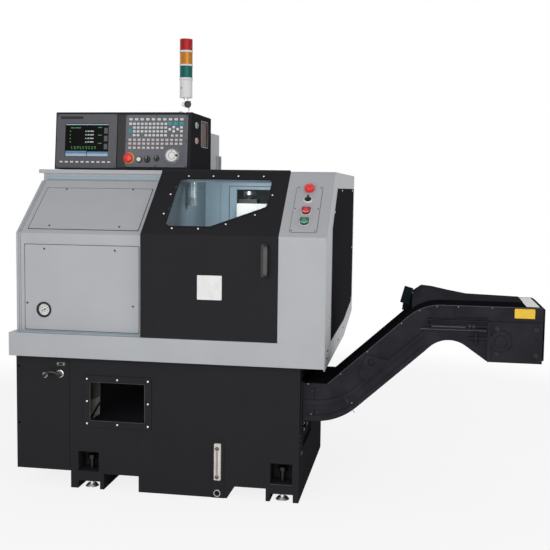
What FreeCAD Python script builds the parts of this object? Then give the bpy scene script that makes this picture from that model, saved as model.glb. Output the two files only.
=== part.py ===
import FreeCAD, Part
import math
import os

# A compact slant-front CNC turning lathe with a chip conveyor at its right end.
# Millimetres. X runs to the right along the spindle, Y runs back, Z runs up.
# While it is drawn, x = 0 is the base's right face, y = 0 its front face and z = 0 the floor.

V = FreeCAD.Vector
X_AXIS = V(1, 0, 0)
Y_AXIS = V(0, 1, 0)
Z_AXIS = V(0, 0, 1)

# Clearances
SEAM = 0.3
RUNNING_FIT = 0.05
SHEET = 4.0

# Base
BASE_LENGTH = 1014.6
BASE_DEPTH = 839.0
BASE_TOP = 586.0
BASE_WALL = 14.0
SIDE_BOX_LENGTH = 251.2
SIDE_BOX_BOTTOM = 76.0
LEFT_UNDERSIDE = 70.0
RIGHT_UNDERSIDE = 54.0
FOOT_WIDTH = 152.0
LEFT_OUTER_PRONG = 34.0
FOOT_INNER_PRONG = 18.0
FOOT_NOTCH_TOP = 34.0
RIGHT_FOOT_WIDTH = 141.0
RIGHT_OUTER_PRONG = 24.0
UPPER_CAVITY_BOTTOM = 277.0
DRAIN_RECESS = (125.0, 420.0, 205.0)
BEARER_WIDTH = 52.0
RIGHT_BEARER_X = -167.8

# Coolant tank and the things on its front
TANK_LEFT = -704.0
TANK_RIGHT = -276.0
TANK_TOP = 263.0
TANK_DEPTH = 600.0
TANK_WALL = 5.0
TANK_BEVEL = 34.0
GAUGE_CENTRE_X = -350.5
GAUGE_WIDTH = 35.0
GAUGE_BOTTOM = 79.0
GAUGE_TOP = 240.0
GAUGE_THICKNESS = 9.0
GAUGE_STRIP_WIDTH = 56.0
GAUGE_STRIP_THICKNESS = 2.5
DRAIN_HEIGHT = 23.5
DRAIN_RADIUS = 15.0

# Levelling screws in their pockets
POCKET_WIDTH = 95.0
POCKET_BOTTOM = 78.0
POCKET_TOP = 166.0
POCKET_DEPTH = 92.0
LEFT_POCKET_INSET = 81.6
RIGHT_POCKET_CENTRE = -75.0
SCREW_RADIUS = 11.0
SCREW_HEAD_RADIUS = 19.0
SCREW_HEAD_HEIGHT = 16.0
SCREW_TOP = 142.0
PAD_RADIUS = 30.0
PAD_HEIGHT = 10.0
SCREW_SETBACK = 46.0

# Inspection window in the base front
INSPECTION_INSET = 215.6
INSPECTION_CENTRE_Z = 393.0
INSPECTION_WIDTH = 249.0
INSPECTION_HEIGHT = 172.0
INSPECTION_BORDER = 28.0
INSPECTION_FRAME_THICKNESS = 5.0
INSPECTION_PANE_THICKNESS = 3.0

# Air fittings on the side box: how far left of the base, how high, and their radius
AIR_SOCKET_PLACES = ((116.4, 499.0, 12.0), (46.4, 508.0, 17.0))
AIR_SOCKET_LENGTH = 14.0

# Belt of the splash guard, and the slanted front above it
BELT_LEFT = -1284.0
SHELL_RIGHT = 105.0
FRONT = -34.0
BELT_TOP = 688.0
BELT_FLANGE = 60.0
LEDGE_DEPTH = 40.0
CREASE = 1131.0
SLOPE_TOP_Y = 291.0
SHELL_TOP = 1405.0
SHELL_BACK = 1400.0
LIP_HEIGHT = 18.0
SIDE_WALL_BOTTOM = 578.0
SIDE_WALL_CHAMFER_Y = 888.0
SIDE_WALL_CHAMFER_Z = 643.0

# Left cover, set back behind the sliding door's plane
COVER_SETBACK = 40.0
COVER_BEND_EASE = 0.6
COVER_LEFT = -1264.0
COVER_RIGHT = -640.0
COVER_BOTTOM = 690.0
COVER_SLOPE_TOP = 1353.0
SKIRT_Y = 300.0
SIDE_FLANGE = 21.0
PANEL_THICKNESS = 2.0
LOWER_PANEL = (-1223.0, -705.0, 700.0, 1073.0)
UPPER_PANEL_LEFT = -1216.0
UPPER_PANEL_RIGHT = -716.0
UPPER_PANEL_START = 28.0
UPPER_PANEL_END = 303.0
PANEL_CORNER = 8.0
PRESSURE_GAUGE_X = -1136.5
PRESSURE_GAUGE_Z = 788.0
PRESSURE_GAUGE_RADIUS = 34.0
PRESSURE_GAUGE_DEPTH = 30.0

# Sliding door
DOOR_LEFT = -686.0
DOOR_RIGHT = -94.6
DOOR_BOTTOM = 690.0
DOOR_TOP = 1395.0
DOOR_RETURN = 18.0
DOOR_TRAVEL = 520.0
WINDOW_LEFT = -590.0
WINDOW_RIGHT = -170.0
WINDOW_TOP_Z = 1369.0
WINDOW_BOTTOM_Z = 1165.0
WINDOW_SIDE_Z = 1250.0
WINDOW_CUT_X = -394.0
WINDOW_CORNER = 22.0
PANE_MARGIN = 24.0
PANE_THICKNESS = 4.0
SHOE_INSET = 26.0
HANDLE_X = -144.0
HANDLE_BOTTOM = 964.0
HANDLE_TOP = 1096.0
HANDLE_REACH = 30.0
HANDLE_WIDTH = 16.0
RAIL_WIDTH = 10.0
RAIL_HEIGHT = 6.0
RAIL_Y = -12.0
RAIL_SPARE = 37.0

# Right column and its switch plate, measured up the slope from the crease
COLUMN_LEFT = -94.0
JAMB_DEPTH = 90.0
SWITCH_X = 3.0
SWITCH_PLATE_WIDTH = 112.0
SWITCH_PLATE_START = 30.0
SWITCH_PLATE_END = 321.0
SWITCH_PLATE_THICKNESS = 2.5
STOP_UP = 299.0
SELECTOR_UP = 231.0
RED_UP = 155.0
GREEN_UP = 88.0
BEZEL_RADIUS = 15.0
BEZEL_HEIGHT = 5.0
STEM_RADIUS = 9.0
BUTTON_RADIUS = 12.0
MUSHROOM_RADIUS = 20.0
BUTTON_TRAVEL = 4.0

# Side panel
SIDE_PANEL_THICKNESS = 2.0
SIDE_PANEL_FRONT = 205.0
SIDE_PANEL_BACK = 1338.0
SIDE_PANEL_BOTTOM = 667.0
SIDE_PANEL_TOP = 1333.0
SIDE_PANEL_CREASE = 1158.0
SIDE_PANEL_CHAMFER_Y = 850.0
SIDE_PANEL_CHAMFER_Z = 714.0

# Control cabinet on the roof: its face leans back
CABINET_LEFT = -1254.0
CABINET_RIGHT = -587.0
CABINET_FRONT = 400.0
CABINET_LEAN = 27.0
CABINET_FACE_HEIGHT = 268.0
CABINET_TOP = 1680.0
CABINET_BACK = 811.0
CABINET_PLINTH = 4.0
SCREEN_MODULE = (-1246.0, -946.0, 6.0, 262.0)
SCREEN_OPENING = (-1203.0, -987.0, 60.0, 217.0)
SCREEN_DEPTH = 4.0
KEY_MODULE = (-903.0, -601.0, 12.0, 259.0)
MODULE_THICKNESS = 7.0
SOFT_KEY_UP = 34.0
SOFT_KEY_FIRST = -1219.0
SOFT_KEY_LAST = -981.0
SOFT_KEY_COUNT = 10
SOFT_KEY_WIDTH = 15.0
SOFT_KEY_HEIGHT = 10.0
KEY_HEIGHT = 2.0
KEY_DEPTH = 11.0
KEY_GAP = 3.0
KEY_ROW_FIRST = -893.0
KEY_ROW_LAST = -621.0
# The rows of keys from the top: their heights on the face, and how many keys each has
KEY_ROW_HEIGHTS = (237.5, 216.5, 198.4, 181.2, 163.3, 140.3, 122.4)
KEY_ROW_COUNTS = (10, 13, 12, 12, 12, 12, 12)
SHORT_ROW_UP = 104.5
SHORT_ROW_LAST = -737.0
SHORT_ROW_COUNT = 7
CONTROL_STOP_PLACE = (-883.0, 53.5)
WHITE_BUTTON_PLACE = (-832.5, 47.5)
KNOB_PLACE = (-794.0, 49.0)
CONTROL_SELECTOR_PLACE = (-748.0, 53.0)
HANDWHEEL_PLACE = (-672.0, 66.0)
SMALL_BUTTON_RADIUS = 10.0
SMALL_BEZEL_RADIUS = 13.0
SMALL_STEM_RADIUS = 6.0
HANDWHEEL_RADIUS = 32.0
HANDWHEEL_THICKNESS = 12.0
SIDE_BUTTON_Y = 509.0
SIDE_GREEN_Z = 1624.0
SIDE_RED_Z = 1551.0
SIDE_RECESS = (606.0, 743.0, 1525.0, 1655.0)
SIDE_RECESS_DEPTH = 6.0

# Signal tower on its swivel foot
TOWER_X = -629.0
TOWER_Y = 480.0
TOWER_RADIUS = 30.0
TOWER_RING_RADIUS = 31.5
TOWER_PIVOT_Z = 1719.0
TOWER_LEVELS = (1751.0, 1833.0, 1844.0, 1898.0, 1906.0, 1961.0, 1970.0, 2023.0)
TOWER_NECK_RADIUS = 11.0
TOWER_FOOT_RADIUS = 34.0
TOWER_FOOT_HEIGHT = 7.0
TONGUE_THICKNESS = 12.0
CHEEK_THICKNESS = 7.0
CHEEK_RADIUS = 14.0
PIVOT_RADIUS = 5.0
LOCK_KNOB_RADIUS = 16.0
LOCK_KNOB_THICKNESS = 12.0

# Electrical cabinet behind the headstock
REAR_CABINET_LEFT = -1262.0
REAR_CABINET_RIGHT = -680.0
REAR_CABINET_FRONT = 1002.0
REAR_CABINET_BACK = 1380.0
REAR_CABINET_BOTTOM = 590.0
REAR_CABINET_TOP = 1631.0
REAR_DOOR_THICKNESS = 24.0
REAR_DRIVE_WIDTH = 90.0
REAR_DRIVE_PITCH = 130.0
REAR_DRIVE_DEPTH = 180.0
REAR_DRIVE_BELOW_TOP = (460.0, 140.0)
HINGE_RADIUS = 8.0

# Work chamber
CHAMBER_LEFT = -600.0
CHAMBER_BACK = 760.0
CHAMBER_FLOOR = 792.0
WAY_OPENING = (-435.0, -60.0, 900.0, 1322.0)
WAY_FRAME_WIDTH = 42.0
WAY_FRAME_THICKNESS = 16.0
LAMP_X = -571.0
LAMP_Y = 380.0
LAMP_BOTTOM = 1246.0
LAMP_TOP = 1365.0
LAMP_RADIUS = 20.0
LAMP_COLLAR_LENGTH = 38.0

# Bed, headstock and spindle
BED_LEFT = -1180.0
BED_RIGHT = -20.0
BED_FRONT = 330.0
BED_BACK = 940.0
BED_TOP = 780.0
HEADSTOCK_LEFT = -980.0
HEADSTOCK_RIGHT = -612.0
HEADSTOCK_FRONT = 340.0
HEADSTOCK_BACK = 650.0
HEADSTOCK_TOP = 1135.0
SPINDLE_Y = 495.0
SPINDLE_Z = 985.0
SPINDLE_RADIUS = 45.0
SPINDLE_LEFT = -1040.0
SPINDLE_NOSE = -560.0
NOSE_RADIUS = 66.0
NOSE_LENGTH = 34.0
COLLET_BORE = 13.0
BAR_BORE = 18.0
ENCODER_WHEEL_RADIUS = 70.0
ENCODER_WHEEL_WIDTH = 26.0

# Z axis: rails on the bed, saddle and screw
RAIL_FRONT_Y = 400.0
RAIL_BACK_Y = 690.0
Z_RAIL_WIDTH = 28.0
Z_RAIL_HEIGHT = 24.0
Z_RAIL_LEFT = -560.0
Z_RAIL_RIGHT = -40.0
SADDLE_LEFT = -440.0
SADDLE_RIGHT = -170.0
SADDLE_TOP = 868.0
SADDLE_MARGIN = 26.0
SADDLE_TRAVEL_LEFT = 60.0
SADDLE_TRAVEL_RIGHT = 60.0
Z_SCREW_Y = 545.0
Z_SCREW_Z = 826.0
Z_SCREW_RADIUS = 14.0
Z_SCREW_LEFT = -545.0
Z_SCREW_RIGHT = -42.0
Z_BEARING_LENGTH = 40.0
Z_BEARING_SIZE = 52.0
Z_MOTOR_LENGTH = 110.0
Z_MOTOR_SIZE = 90.0

# X axis: slide on the saddle, with the tool head
X_RAIL_WIDTH = 24.0
X_RAIL_HEIGHT = 20.0
X_RAIL_OFFSET = 90.0
SLIDE_FRONT = 560.0
SLIDE_BACK = 725.0
SLIDE_BASE_TOP = 930.0
HEAD_LEFT = -406.0
HEAD_RIGHT = -250.0
HEAD_FRONT = 590.0
HEAD_BACK = 725.0
HEAD_TOP = 1255.0
CAP_BLOCK_HEIGHT = 21.0
CAP_RADIUS = 30.0
CAP_HEIGHT = 38.0
TOOL_PLATE_THICKNESS = 24.0
TOOL_COUNT = 3
TOOL_PITCH = 48.0
TOOL_SHANK = 16.0
TOOL_LENGTH = 52.0
SLIDE_TRAVEL_FRONT = 130.0
SLIDE_TRAVEL_BACK = 8.0
X_SCREW_X = -305.0
X_SCREW_RADIUS = 10.0

# Chip conveyor, drawn along X between its near and far walls
CONVEYOR_NEAR = 30.0
CONVEYOR_FAR = 400.0
CONVEYOR_SHEET = 4.0
CONVEYOR_INNER_END = -560.0
CONVEYOR_BOTTOM = 353.0
CONVEYOR_LOW_TOP = 513.0
CONVEYOR_ANGLE = 42.2
LOW_BEND_X = 60.0
LOW_BEND_RADIUS = 260.0
HEAD_BEND_X = 532.0
HEAD_BEND_RADIUS = 114.0
HEAD_FALL_ANGLE = 35.0
HEAD_BOTTOM = 636.0
CONVEYOR_HEAD_TOP = 863.0
CONVEYOR_END = 978.0
CREASE_X = 111.8
TOP_BEND_RADIUS = 199.0
OUTLET = (800.0, 930.0, 70.0, 360.0)
END_PLATE_THICKNESS = 7.0
SHAFT_X = 813.0
SHAFT_Z = 725.0
SHAFT_RADIUS = 14.0
SPROCKET_RADIUS = 58.0
SPROCKET_TEETH = 12
SPROCKET_WIDTH = 14.0
CHIP_BELT_THICKNESS = 5.0
CHIP_WAY_HEIGHT = 68.0
LOW_FLANGE_HEIGHT = 24.0
LOW_RIDGE = (420.0, 442.0)
RIB_THICKNESS = 5.0
DRIVE_PLATE = (763.0, 976.0, 641.0, 803.0)
DRIVE_PLATE_THICKNESS = 6.0
DRIVE_BOLT_INSETS = (37.0, 24.0, 31.0, 28.0)
BOSS_RADIUS = 42.0
HUB_RADIUS = 23.0
CHANNEL = (517.0, 760.0, 770.0, 806.0)
CHANNEL_DEPTH = 20.0
TENSION_ROD_Z = 781.0
TENSION_BOLT = (679.0, 758.0, 733.0)
LUG_OUTLINE = ((272.0, 645.6), (368.4, 627.6), (281.2, 534.5), (243.1, 546.2), (244.7, 570.9))
LUG_HOLE = (293.0, 614.0)
LUG_HOLE_RADIUS = 15.0
LUG_THICKNESS = 8.0
HOOD_FRONT = 210.0
HOOD_FULL = 320.0
HOOD_LINE = ((453.6, 880.0), (490.0, 906.0), (534.6, 902.0), (608.0, 887.0), (689.0, 873.0), (916.0, 866.0))
HOOD_FOOT_Z = 780.0
TERMINAL_BOX_SIZE = (40.0, 60.0, 70.0)
TERMINAL_BOX_PLACE = (428.0, 440.0, 860.0)
TERMINAL_BOX_TILT = 15.0

# Values that follow from the ones above
SLOPE_RISE = SHELL_TOP - CREASE
SLOPE_RUN = SLOPE_TOP_Y - FRONT
SLOPE_ANGLE = math.atan2(SLOPE_RISE, SLOPE_RUN)
SLOPE_UP = V(0, math.cos(SLOPE_ANGLE), math.sin(SLOPE_ANGLE))
SLOPE_OUT = V(0, -math.sin(SLOPE_ANGLE), math.cos(SLOPE_ANGLE))
FACE_ANGLE = math.atan2(CABINET_LEAN, CABINET_FACE_HEIGHT)
FACE_UP = V(0, math.sin(FACE_ANGLE), math.cos(FACE_ANGLE))
FACE_OUT = V(0, -math.cos(FACE_ANGLE), math.sin(FACE_ANGLE))
CABINET_BOTTOM = SHELL_TOP + CABINET_PLINTH
COVER_FRONT = FRONT + COVER_SETBACK
COVER_CREASE = CREASE - COVER_SETBACK * math.tan(SLOPE_ANGLE / 2) * COVER_BEND_EASE
COVER_SLOPE_Y = COVER_FRONT + (COVER_SLOPE_TOP - COVER_CREASE) * SLOPE_RUN / SLOPE_RISE
SHEET_INSIDE = SHELL_RIGHT - SHEET
RIGHT_TANK_EDGE = TANK_RIGHT - TANK_BEVEL
REAR_DOOR_BACK = REAR_CABINET_BACK + REAR_DOOR_THICKNESS
HINGE_X = REAR_CABINET_RIGHT + HINGE_RADIUS
HINGE_Y = REAR_CABINET_BACK + REAR_DOOR_THICKNESS / 2
LEFT_POCKET_CENTRE = LEFT_POCKET_INSET - BASE_LENGTH
INSPECTION_CENTRE_X = INSPECTION_INSET - BASE_LENGTH
ORIGIN = V((BELT_LEFT + CONVEYOR_END + END_PLATE_THICKNESS) / 2, (FRONT - HANDLE_REACH + REAR_DOOR_BACK + SHEET) / 2, 0)


def box(x0, x1, y0, y1, z0, z1):
    return Part.makeBox(x1 - x0, y1 - y0, z1 - z0, V(x0, y0, z0))


def face_of(points):
    return Part.Face(Part.makePolygon(list(points) + [points[0]]))


def prism_x(outline, x0, x1):
    """A solid with this (y, z) outline, running along X."""
    return face_of([V(x0, y, z) for y, z in outline]).extrude(V(x1 - x0, 0, 0))


def prism_y(outline, y0, y1):
    """A solid with this (x, z) outline, running along Y."""
    return face_of([V(x, y0, z) for x, z in outline]).extrude(V(0, y1 - y0, 0))


def rod(start, axis, radius, length):
    return Part.makeCylinder(radius, length, start, axis)


def tube(start, axis, outer, inner, length):
    return rod(start, axis, outer, length).cut(rod(start, axis, inner, length))


def joined(shapes):
    return shapes[0].multiFuse(shapes[1:]).removeSplitter()


def sheet_x(outline, x0, x1, thickness):
    """A folded sheet along X whose back follows its (y, z) front line, this far behind it."""
    back = [(y + thickness, z) for y, z in reversed(outline)]
    return prism_x(list(outline) + back, x0, x1)


def on_plane(shape, origin, up, out):
    """Places a piece drawn flat (X right, Y up, Z out) on a leaning plane."""
    placed = shape.copy()
    plane = FreeCAD.Placement(origin, FreeCAD.Rotation(X_AXIS, up, out, "ZXY"))
    placed.Placement = plane.multiply(shape.Placement)
    return placed


def on_slope(shape):
    return on_plane(shape, V(0, FRONT, CREASE), SLOPE_UP, SLOPE_OUT)


def on_face(shape):
    return on_plane(shape, V(0, CABINET_FRONT, CABINET_BOTTOM), FACE_UP, FACE_OUT)


def up_slope(z):
    """How far up the slope from the crease a height lies."""
    return (z - CREASE) / math.sin(SLOPE_ANGLE)


def rounded_plate(x0, x1, y0, y1, z0, z1, corner):
    plate = box(x0, x1, y0, y1, z0, z1)
    edges = [edge for edge in plate.Edges if abs(edge.tangentAt(edge.FirstParameter).z) > 0.99]
    return plate.makeFillet(corner, edges)


def save(name, shape):
    """Writes one sub-part with the origin moved under the middle of the machine."""
    placed = shape.translated(-ORIGIN)
    if not placed.isValid():
        raise ValueError(name + " is not a valid solid")
    placed.exportStep(os.path.join("parts", name + ".step"))


def base_outline():
    """The base seen from the front: two channel feet and the bay that the tank slides into."""
    left = -BASE_LENGTH
    foot_end = left + FOOT_WIDTH
    foot_start = -RIGHT_FOOT_WIDTH
    bay_left = TANK_LEFT - SEAM
    bay_right = TANK_RIGHT + SEAM
    bay_top = TANK_TOP + SEAM
    return [
        (left, 0), (left + LEFT_OUTER_PRONG, 0), (left + LEFT_OUTER_PRONG, FOOT_NOTCH_TOP),
        (foot_end - FOOT_INNER_PRONG, FOOT_NOTCH_TOP), (foot_end - FOOT_INNER_PRONG, 0),
        (foot_end, 0), (foot_end, LEFT_UNDERSIDE), (bay_left, LEFT_UNDERSIDE),
        (bay_left, bay_top), (bay_right, bay_top), (bay_right, RIGHT_UNDERSIDE),
        (foot_start, RIGHT_UNDERSIDE), (foot_start, 0), (foot_start + FOOT_INNER_PRONG, 0),
        (foot_start + FOOT_INNER_PRONG, FOOT_NOTCH_TOP), (-RIGHT_OUTER_PRONG, FOOT_NOTCH_TOP),
        (-RIGHT_OUTER_PRONG, 0), (0, 0), (0, BASE_TOP), (left, BASE_TOP),
    ]


def screw_places():
    """The four levelling screws: a pair in each foot."""
    return [(x, y) for x in (LEFT_POCKET_CENTRE, RIGHT_POCKET_CENTRE)
            for y in (SCREW_SETBACK, BASE_DEPTH - SCREW_SETBACK)]


def base_frame():
    body = prism_y(base_outline(), 0, BASE_DEPTH)
    cavity = box(BASE_WALL - BASE_LENGTH, -BASE_WALL, BASE_WALL, BASE_DEPTH - BASE_WALL,
                 UPPER_CAVITY_BOTTOM, BASE_TOP - BASE_WALL)
    chute = box(CONVEYOR_INNER_END, BED_RIGHT - BASE_WALL, CONVEYOR_NEAR + BASE_WALL, BED_FRONT - BASE_WALL,
                BASE_TOP - BASE_WALL, BASE_TOP)
    tunnel = box(-BASE_WALL, 0, CONVEYOR_NEAR - SEAM, CONVEYOR_FAR + SEAM,
                 CONVEYOR_BOTTOM - SEAM, CONVEYOR_LOW_TOP + SEAM)
    recess_front, recess_back, recess_bottom = DRAIN_RECESS
    drain_recess = box(-BASE_WALL, 0, recess_front, recess_back, recess_bottom, UPPER_CAVITY_BOTTOM - BASE_WALL)
    half_width = INSPECTION_WIDTH / 2 + INSPECTION_BORDER / 3
    half_height = INSPECTION_HEIGHT / 2 + INSPECTION_BORDER / 3
    inspection = box(INSPECTION_CENTRE_X - half_width, INSPECTION_CENTRE_X + half_width, 0, BASE_WALL,
                     INSPECTION_CENTRE_Z - half_height, INSPECTION_CENTRE_Z + half_height)
    cuts = [cavity, chute, tunnel, drain_recess, inspection]
    for x, y in screw_places():
        pocket_start = 0 if y < BASE_DEPTH / 2 else BASE_DEPTH - POCKET_DEPTH
        cuts.append(box(x - POCKET_WIDTH / 2, x + POCKET_WIDTH / 2, pocket_start, pocket_start + POCKET_DEPTH,
                        POCKET_BOTTOM, POCKET_TOP))
        cuts.append(rod(V(x, y, FOOT_NOTCH_TOP), Z_AXIS, SCREW_RADIUS + SEAM, POCKET_BOTTOM - FOOT_NOTCH_TOP))
    bearers = [box(x, x + BEARER_WIDTH, BASE_WALL, BASE_DEPTH - BASE_WALL,
                   UPPER_CAVITY_BOTTOM, CONVEYOR_BOTTOM)
               for x in (CONVEYOR_INNER_END + BASE_WALL, RIGHT_BEARER_X)]
    return joined([body.cut(Part.makeCompound(cuts))] + bearers)


def levelling_screws():
    screws = []
    for x, y in screw_places():
        pad = Part.makeCone(PAD_RADIUS, PAD_RADIUS * 0.7, PAD_HEIGHT, V(x, y, 0))
        shank = rod(V(x, y, PAD_HEIGHT), Z_AXIS, SCREW_RADIUS, SCREW_TOP - PAD_HEIGHT)
        head = rod(V(x, y, SCREW_TOP - SCREW_HEAD_HEIGHT), Z_AXIS, SCREW_HEAD_RADIUS, SCREW_HEAD_HEIGHT)
        screws.append(joined([pad, shank, head]))
    return Part.makeCompound(screws)


def side_box():
    right = -BASE_LENGTH
    body = box(right - SIDE_BOX_LENGTH, right, 0, BASE_DEPTH, SIDE_BOX_BOTTOM, BASE_TOP)
    holes = [rod(V(right - SIDE_BOX_LENGTH + 12, 0, z), Y_AXIS, 6, BASE_WALL) for z in (280, 533)]
    return body.cut(Part.makeCompound(holes))


def coolant_tank():
    """An open tank whose front closes the bay, with the gauge strip and the drain boss."""
    outer = [(TANK_LEFT, 0), (RIGHT_TANK_EDGE, 0), (TANK_RIGHT, RIGHT_UNDERSIDE),
             (TANK_RIGHT, TANK_TOP), (TANK_LEFT, TANK_TOP)]
    inner = [(TANK_LEFT + TANK_WALL, TANK_WALL), (RIGHT_TANK_EDGE - TANK_WALL / 2, TANK_WALL),
             (TANK_RIGHT - TANK_WALL, RIGHT_UNDERSIDE + TANK_WALL / 2),
             (TANK_RIGHT - TANK_WALL, TANK_TOP), (TANK_LEFT + TANK_WALL, TANK_TOP)]
    pan = prism_y(outer, 0, TANK_DEPTH).cut(prism_y(inner, TANK_WALL, TANK_DEPTH - TANK_WALL))
    strip = box(GAUGE_CENTRE_X - GAUGE_STRIP_WIDTH / 2, GAUGE_CENTRE_X + GAUGE_STRIP_WIDTH / 2,
                -GAUGE_STRIP_THICKNESS, 0, 0, GAUGE_TOP + GAUGE_THICKNESS)
    boss = rod(V(GAUGE_CENTRE_X, -GAUGE_STRIP_THICKNESS, DRAIN_HEIGHT), -Y_AXIS, DRAIN_RADIUS, GAUGE_THICKNESS)
    plug_hole = rod(V(GAUGE_CENTRE_X, -GAUGE_STRIP_THICKNESS - GAUGE_THICKNESS, DRAIN_HEIGHT), Y_AXIS,
                    DRAIN_RADIUS / 2, GAUGE_THICKNESS)
    return joined([pan, strip, boss]).cut(plug_hole)


def level_gauge():
    back = -GAUGE_STRIP_THICKNESS
    left = GAUGE_CENTRE_X - GAUGE_WIDTH / 2
    body = box(left, left + GAUGE_WIDTH, back - GAUGE_THICKNESS, back, GAUGE_BOTTOM, GAUGE_TOP)
    upright = [edge for edge in body.Edges if abs(edge.tangentAt(edge.FirstParameter).y) > 0.99]
    body = body.makeFillet(GAUGE_THICKNESS, upright)
    slot = box(GAUGE_CENTRE_X - GAUGE_WIDTH / 5, GAUGE_CENTRE_X + GAUGE_WIDTH / 5,
               back - GAUGE_THICKNESS, back - GAUGE_THICKNESS / 2,
               GAUGE_BOTTOM + GAUGE_WIDTH, GAUGE_TOP - GAUGE_WIDTH)
    return body.cut(slot)


def inspection_rectangle(margin, y0, y1):
    half_width = INSPECTION_WIDTH / 2 + margin
    half_height = INSPECTION_HEIGHT / 2 + margin
    return box(INSPECTION_CENTRE_X - half_width, INSPECTION_CENTRE_X + half_width, y0, y1,
               INSPECTION_CENTRE_Z - half_height, INSPECTION_CENTRE_Z + half_height)


def inspection_frame():
    plate = inspection_rectangle(INSPECTION_BORDER, -INSPECTION_FRAME_THICKNESS, 0)
    corners = [edge for edge in plate.Edges if abs(edge.tangentAt(edge.FirstParameter).y) > 0.99]
    plate = plate.makeFillet(PANEL_CORNER, corners)
    return plate.cut(inspection_rectangle(0, -INSPECTION_FRAME_THICKNESS, 0))


def inspection_pane():
    return inspection_rectangle(INSPECTION_BORDER / 3 - SEAM, 0, INSPECTION_PANE_THICKNESS)


def air_fittings():
    """Two round sockets: a knurled collar on a flange, with the bore open to the front."""
    sockets = []
    for inset, z, radius in AIR_SOCKET_PLACES:
        x = -BASE_LENGTH - inset
        profile = [V(0, 0, 0), V(radius, 0, 0), V(radius, AIR_SOCKET_LENGTH * 0.3, 0),
                   V(radius * 0.8, AIR_SOCKET_LENGTH * 0.4, 0), V(radius * 0.8, AIR_SOCKET_LENGTH, 0),
                   V(radius * 0.45, AIR_SOCKET_LENGTH, 0), V(radius * 0.45, AIR_SOCKET_LENGTH * 0.4, 0),
                   V(0, AIR_SOCKET_LENGTH * 0.4, 0)]
        socket = face_of(profile).revolve(V(0, 0, 0), Y_AXIS, 360)
        socket.Placement = FreeCAD.Placement(V(x, 0, z), FreeCAD.Rotation(Z_AXIS, 180))
        sockets.append(socket)
    return Part.makeCompound(sockets)


def shell_front():
    """The front line of the slanted shell in (y, z), from the belt up to the roof."""
    return [(FRONT, BELT_TOP), (FRONT, CREASE), (SLOPE_TOP_Y, SHELL_TOP)]


def cover_line():
    """The line of the set-back left cover, up its slope."""
    return [(COVER_FRONT, COVER_BOTTOM), (COVER_FRONT, COVER_CREASE), (COVER_SLOPE_Y, COVER_SLOPE_TOP)]


def skirt(x0, x1):
    """The ledge over the slope and the upright sheet that carries the roof."""
    ledge = box(x0, x1, COVER_SLOPE_Y, SKIRT_Y + SHEET, COVER_SLOPE_TOP - SHEET, COVER_SLOPE_TOP)
    upright = box(x0, x1, SKIRT_Y, SKIRT_Y + SHEET, COVER_SLOPE_TOP - SHEET, SHELL_TOP - SHEET)
    return ledge.fuse(upright)


def splash_tray():
    """The belt: a folded channel along the front and another along the left side."""
    outline = [(FRONT, BASE_TOP), (BELT_FLANGE, BASE_TOP), (BELT_FLANGE, BASE_TOP + SHEET),
               (FRONT + SHEET, BASE_TOP + SHEET), (FRONT + SHEET, BELT_TOP - SHEET),
               (COVER_FRONT + SIDE_FLANGE, BELT_TOP - SHEET), (COVER_FRONT + SIDE_FLANGE, BELT_TOP),
               (FRONT, BELT_TOP)]
    front = prism_x(outline, BELT_LEFT, SHEET_INSIDE)
    left_outline = [(BELT_LEFT, BASE_TOP), (BELT_LEFT + BELT_FLANGE, BASE_TOP),
                    (BELT_LEFT + BELT_FLANGE, BASE_TOP + SHEET), (BELT_LEFT + SHEET, BASE_TOP + SHEET),
                    (BELT_LEFT + SHEET, BELT_TOP - SHEET), (BELT_LEFT + BELT_FLANGE, BELT_TOP - SHEET),
                    (BELT_LEFT + BELT_FLANGE, BELT_TOP), (BELT_LEFT, BELT_TOP)]
    left = prism_y(left_outline, FRONT, REAR_CABINET_FRONT)
    end_cap = box(BELT_LEFT, BELT_LEFT + SHEET, FRONT, REAR_CABINET_FRONT, BASE_TOP, BELT_TOP)
    return joined([front, left, end_cap])


def left_cover():
    left = COVER_LEFT + SIDE_FLANGE
    folded = joined([sheet_x(cover_line(), left, COVER_RIGHT, SHEET), skirt(left, COVER_RIGHT)])
    return folded.cut(rod(V(PRESSURE_GAUGE_X, COVER_FRONT, PRESSURE_GAUGE_Z), Y_AXIS,
                          PRESSURE_GAUGE_RADIUS - SHEET, SHEET))


def left_wall():
    outline = cover_line() + [(SKIRT_Y, COVER_SLOPE_TOP), (SKIRT_Y, SHELL_TOP - SHEET),
                              (REAR_CABINET_FRONT - SEAM, SHELL_TOP - SHEET),
                              (REAR_CABINET_FRONT - SEAM, COVER_BOTTOM)]
    wall = prism_x(outline, COVER_LEFT, COVER_LEFT + SHEET)
    right = COVER_LEFT + SIDE_FLANGE - SEAM
    return joined([wall, sheet_x(cover_line(), COVER_LEFT, right, SHEET), skirt(COVER_LEFT, right)])


def cover_panels():
    left, right, low, high = LOWER_PANEL
    lower = box(left, right, COVER_FRONT - PANEL_THICKNESS, COVER_FRONT, low, high)
    lower = lower.makeFillet(PANEL_CORNER, [e for e in lower.Edges if abs(e.tangentAt(e.FirstParameter).y) > 0.99])
    hole = rod(V(PRESSURE_GAUGE_X, COVER_FRONT - PANEL_THICKNESS, PRESSURE_GAUGE_Z), Y_AXIS,
               PRESSURE_GAUGE_RADIUS + SEAM, PANEL_THICKNESS)
    upper = rounded_plate(UPPER_PANEL_LEFT, UPPER_PANEL_RIGHT, UPPER_PANEL_START, UPPER_PANEL_END,
                          0, PANEL_THICKNESS, PANEL_CORNER)
    upper = on_plane(upper, V(0, COVER_FRONT, COVER_CREASE), SLOPE_UP, SLOPE_OUT)
    return Part.makeCompound([lower.cut(hole), upper])


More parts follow.
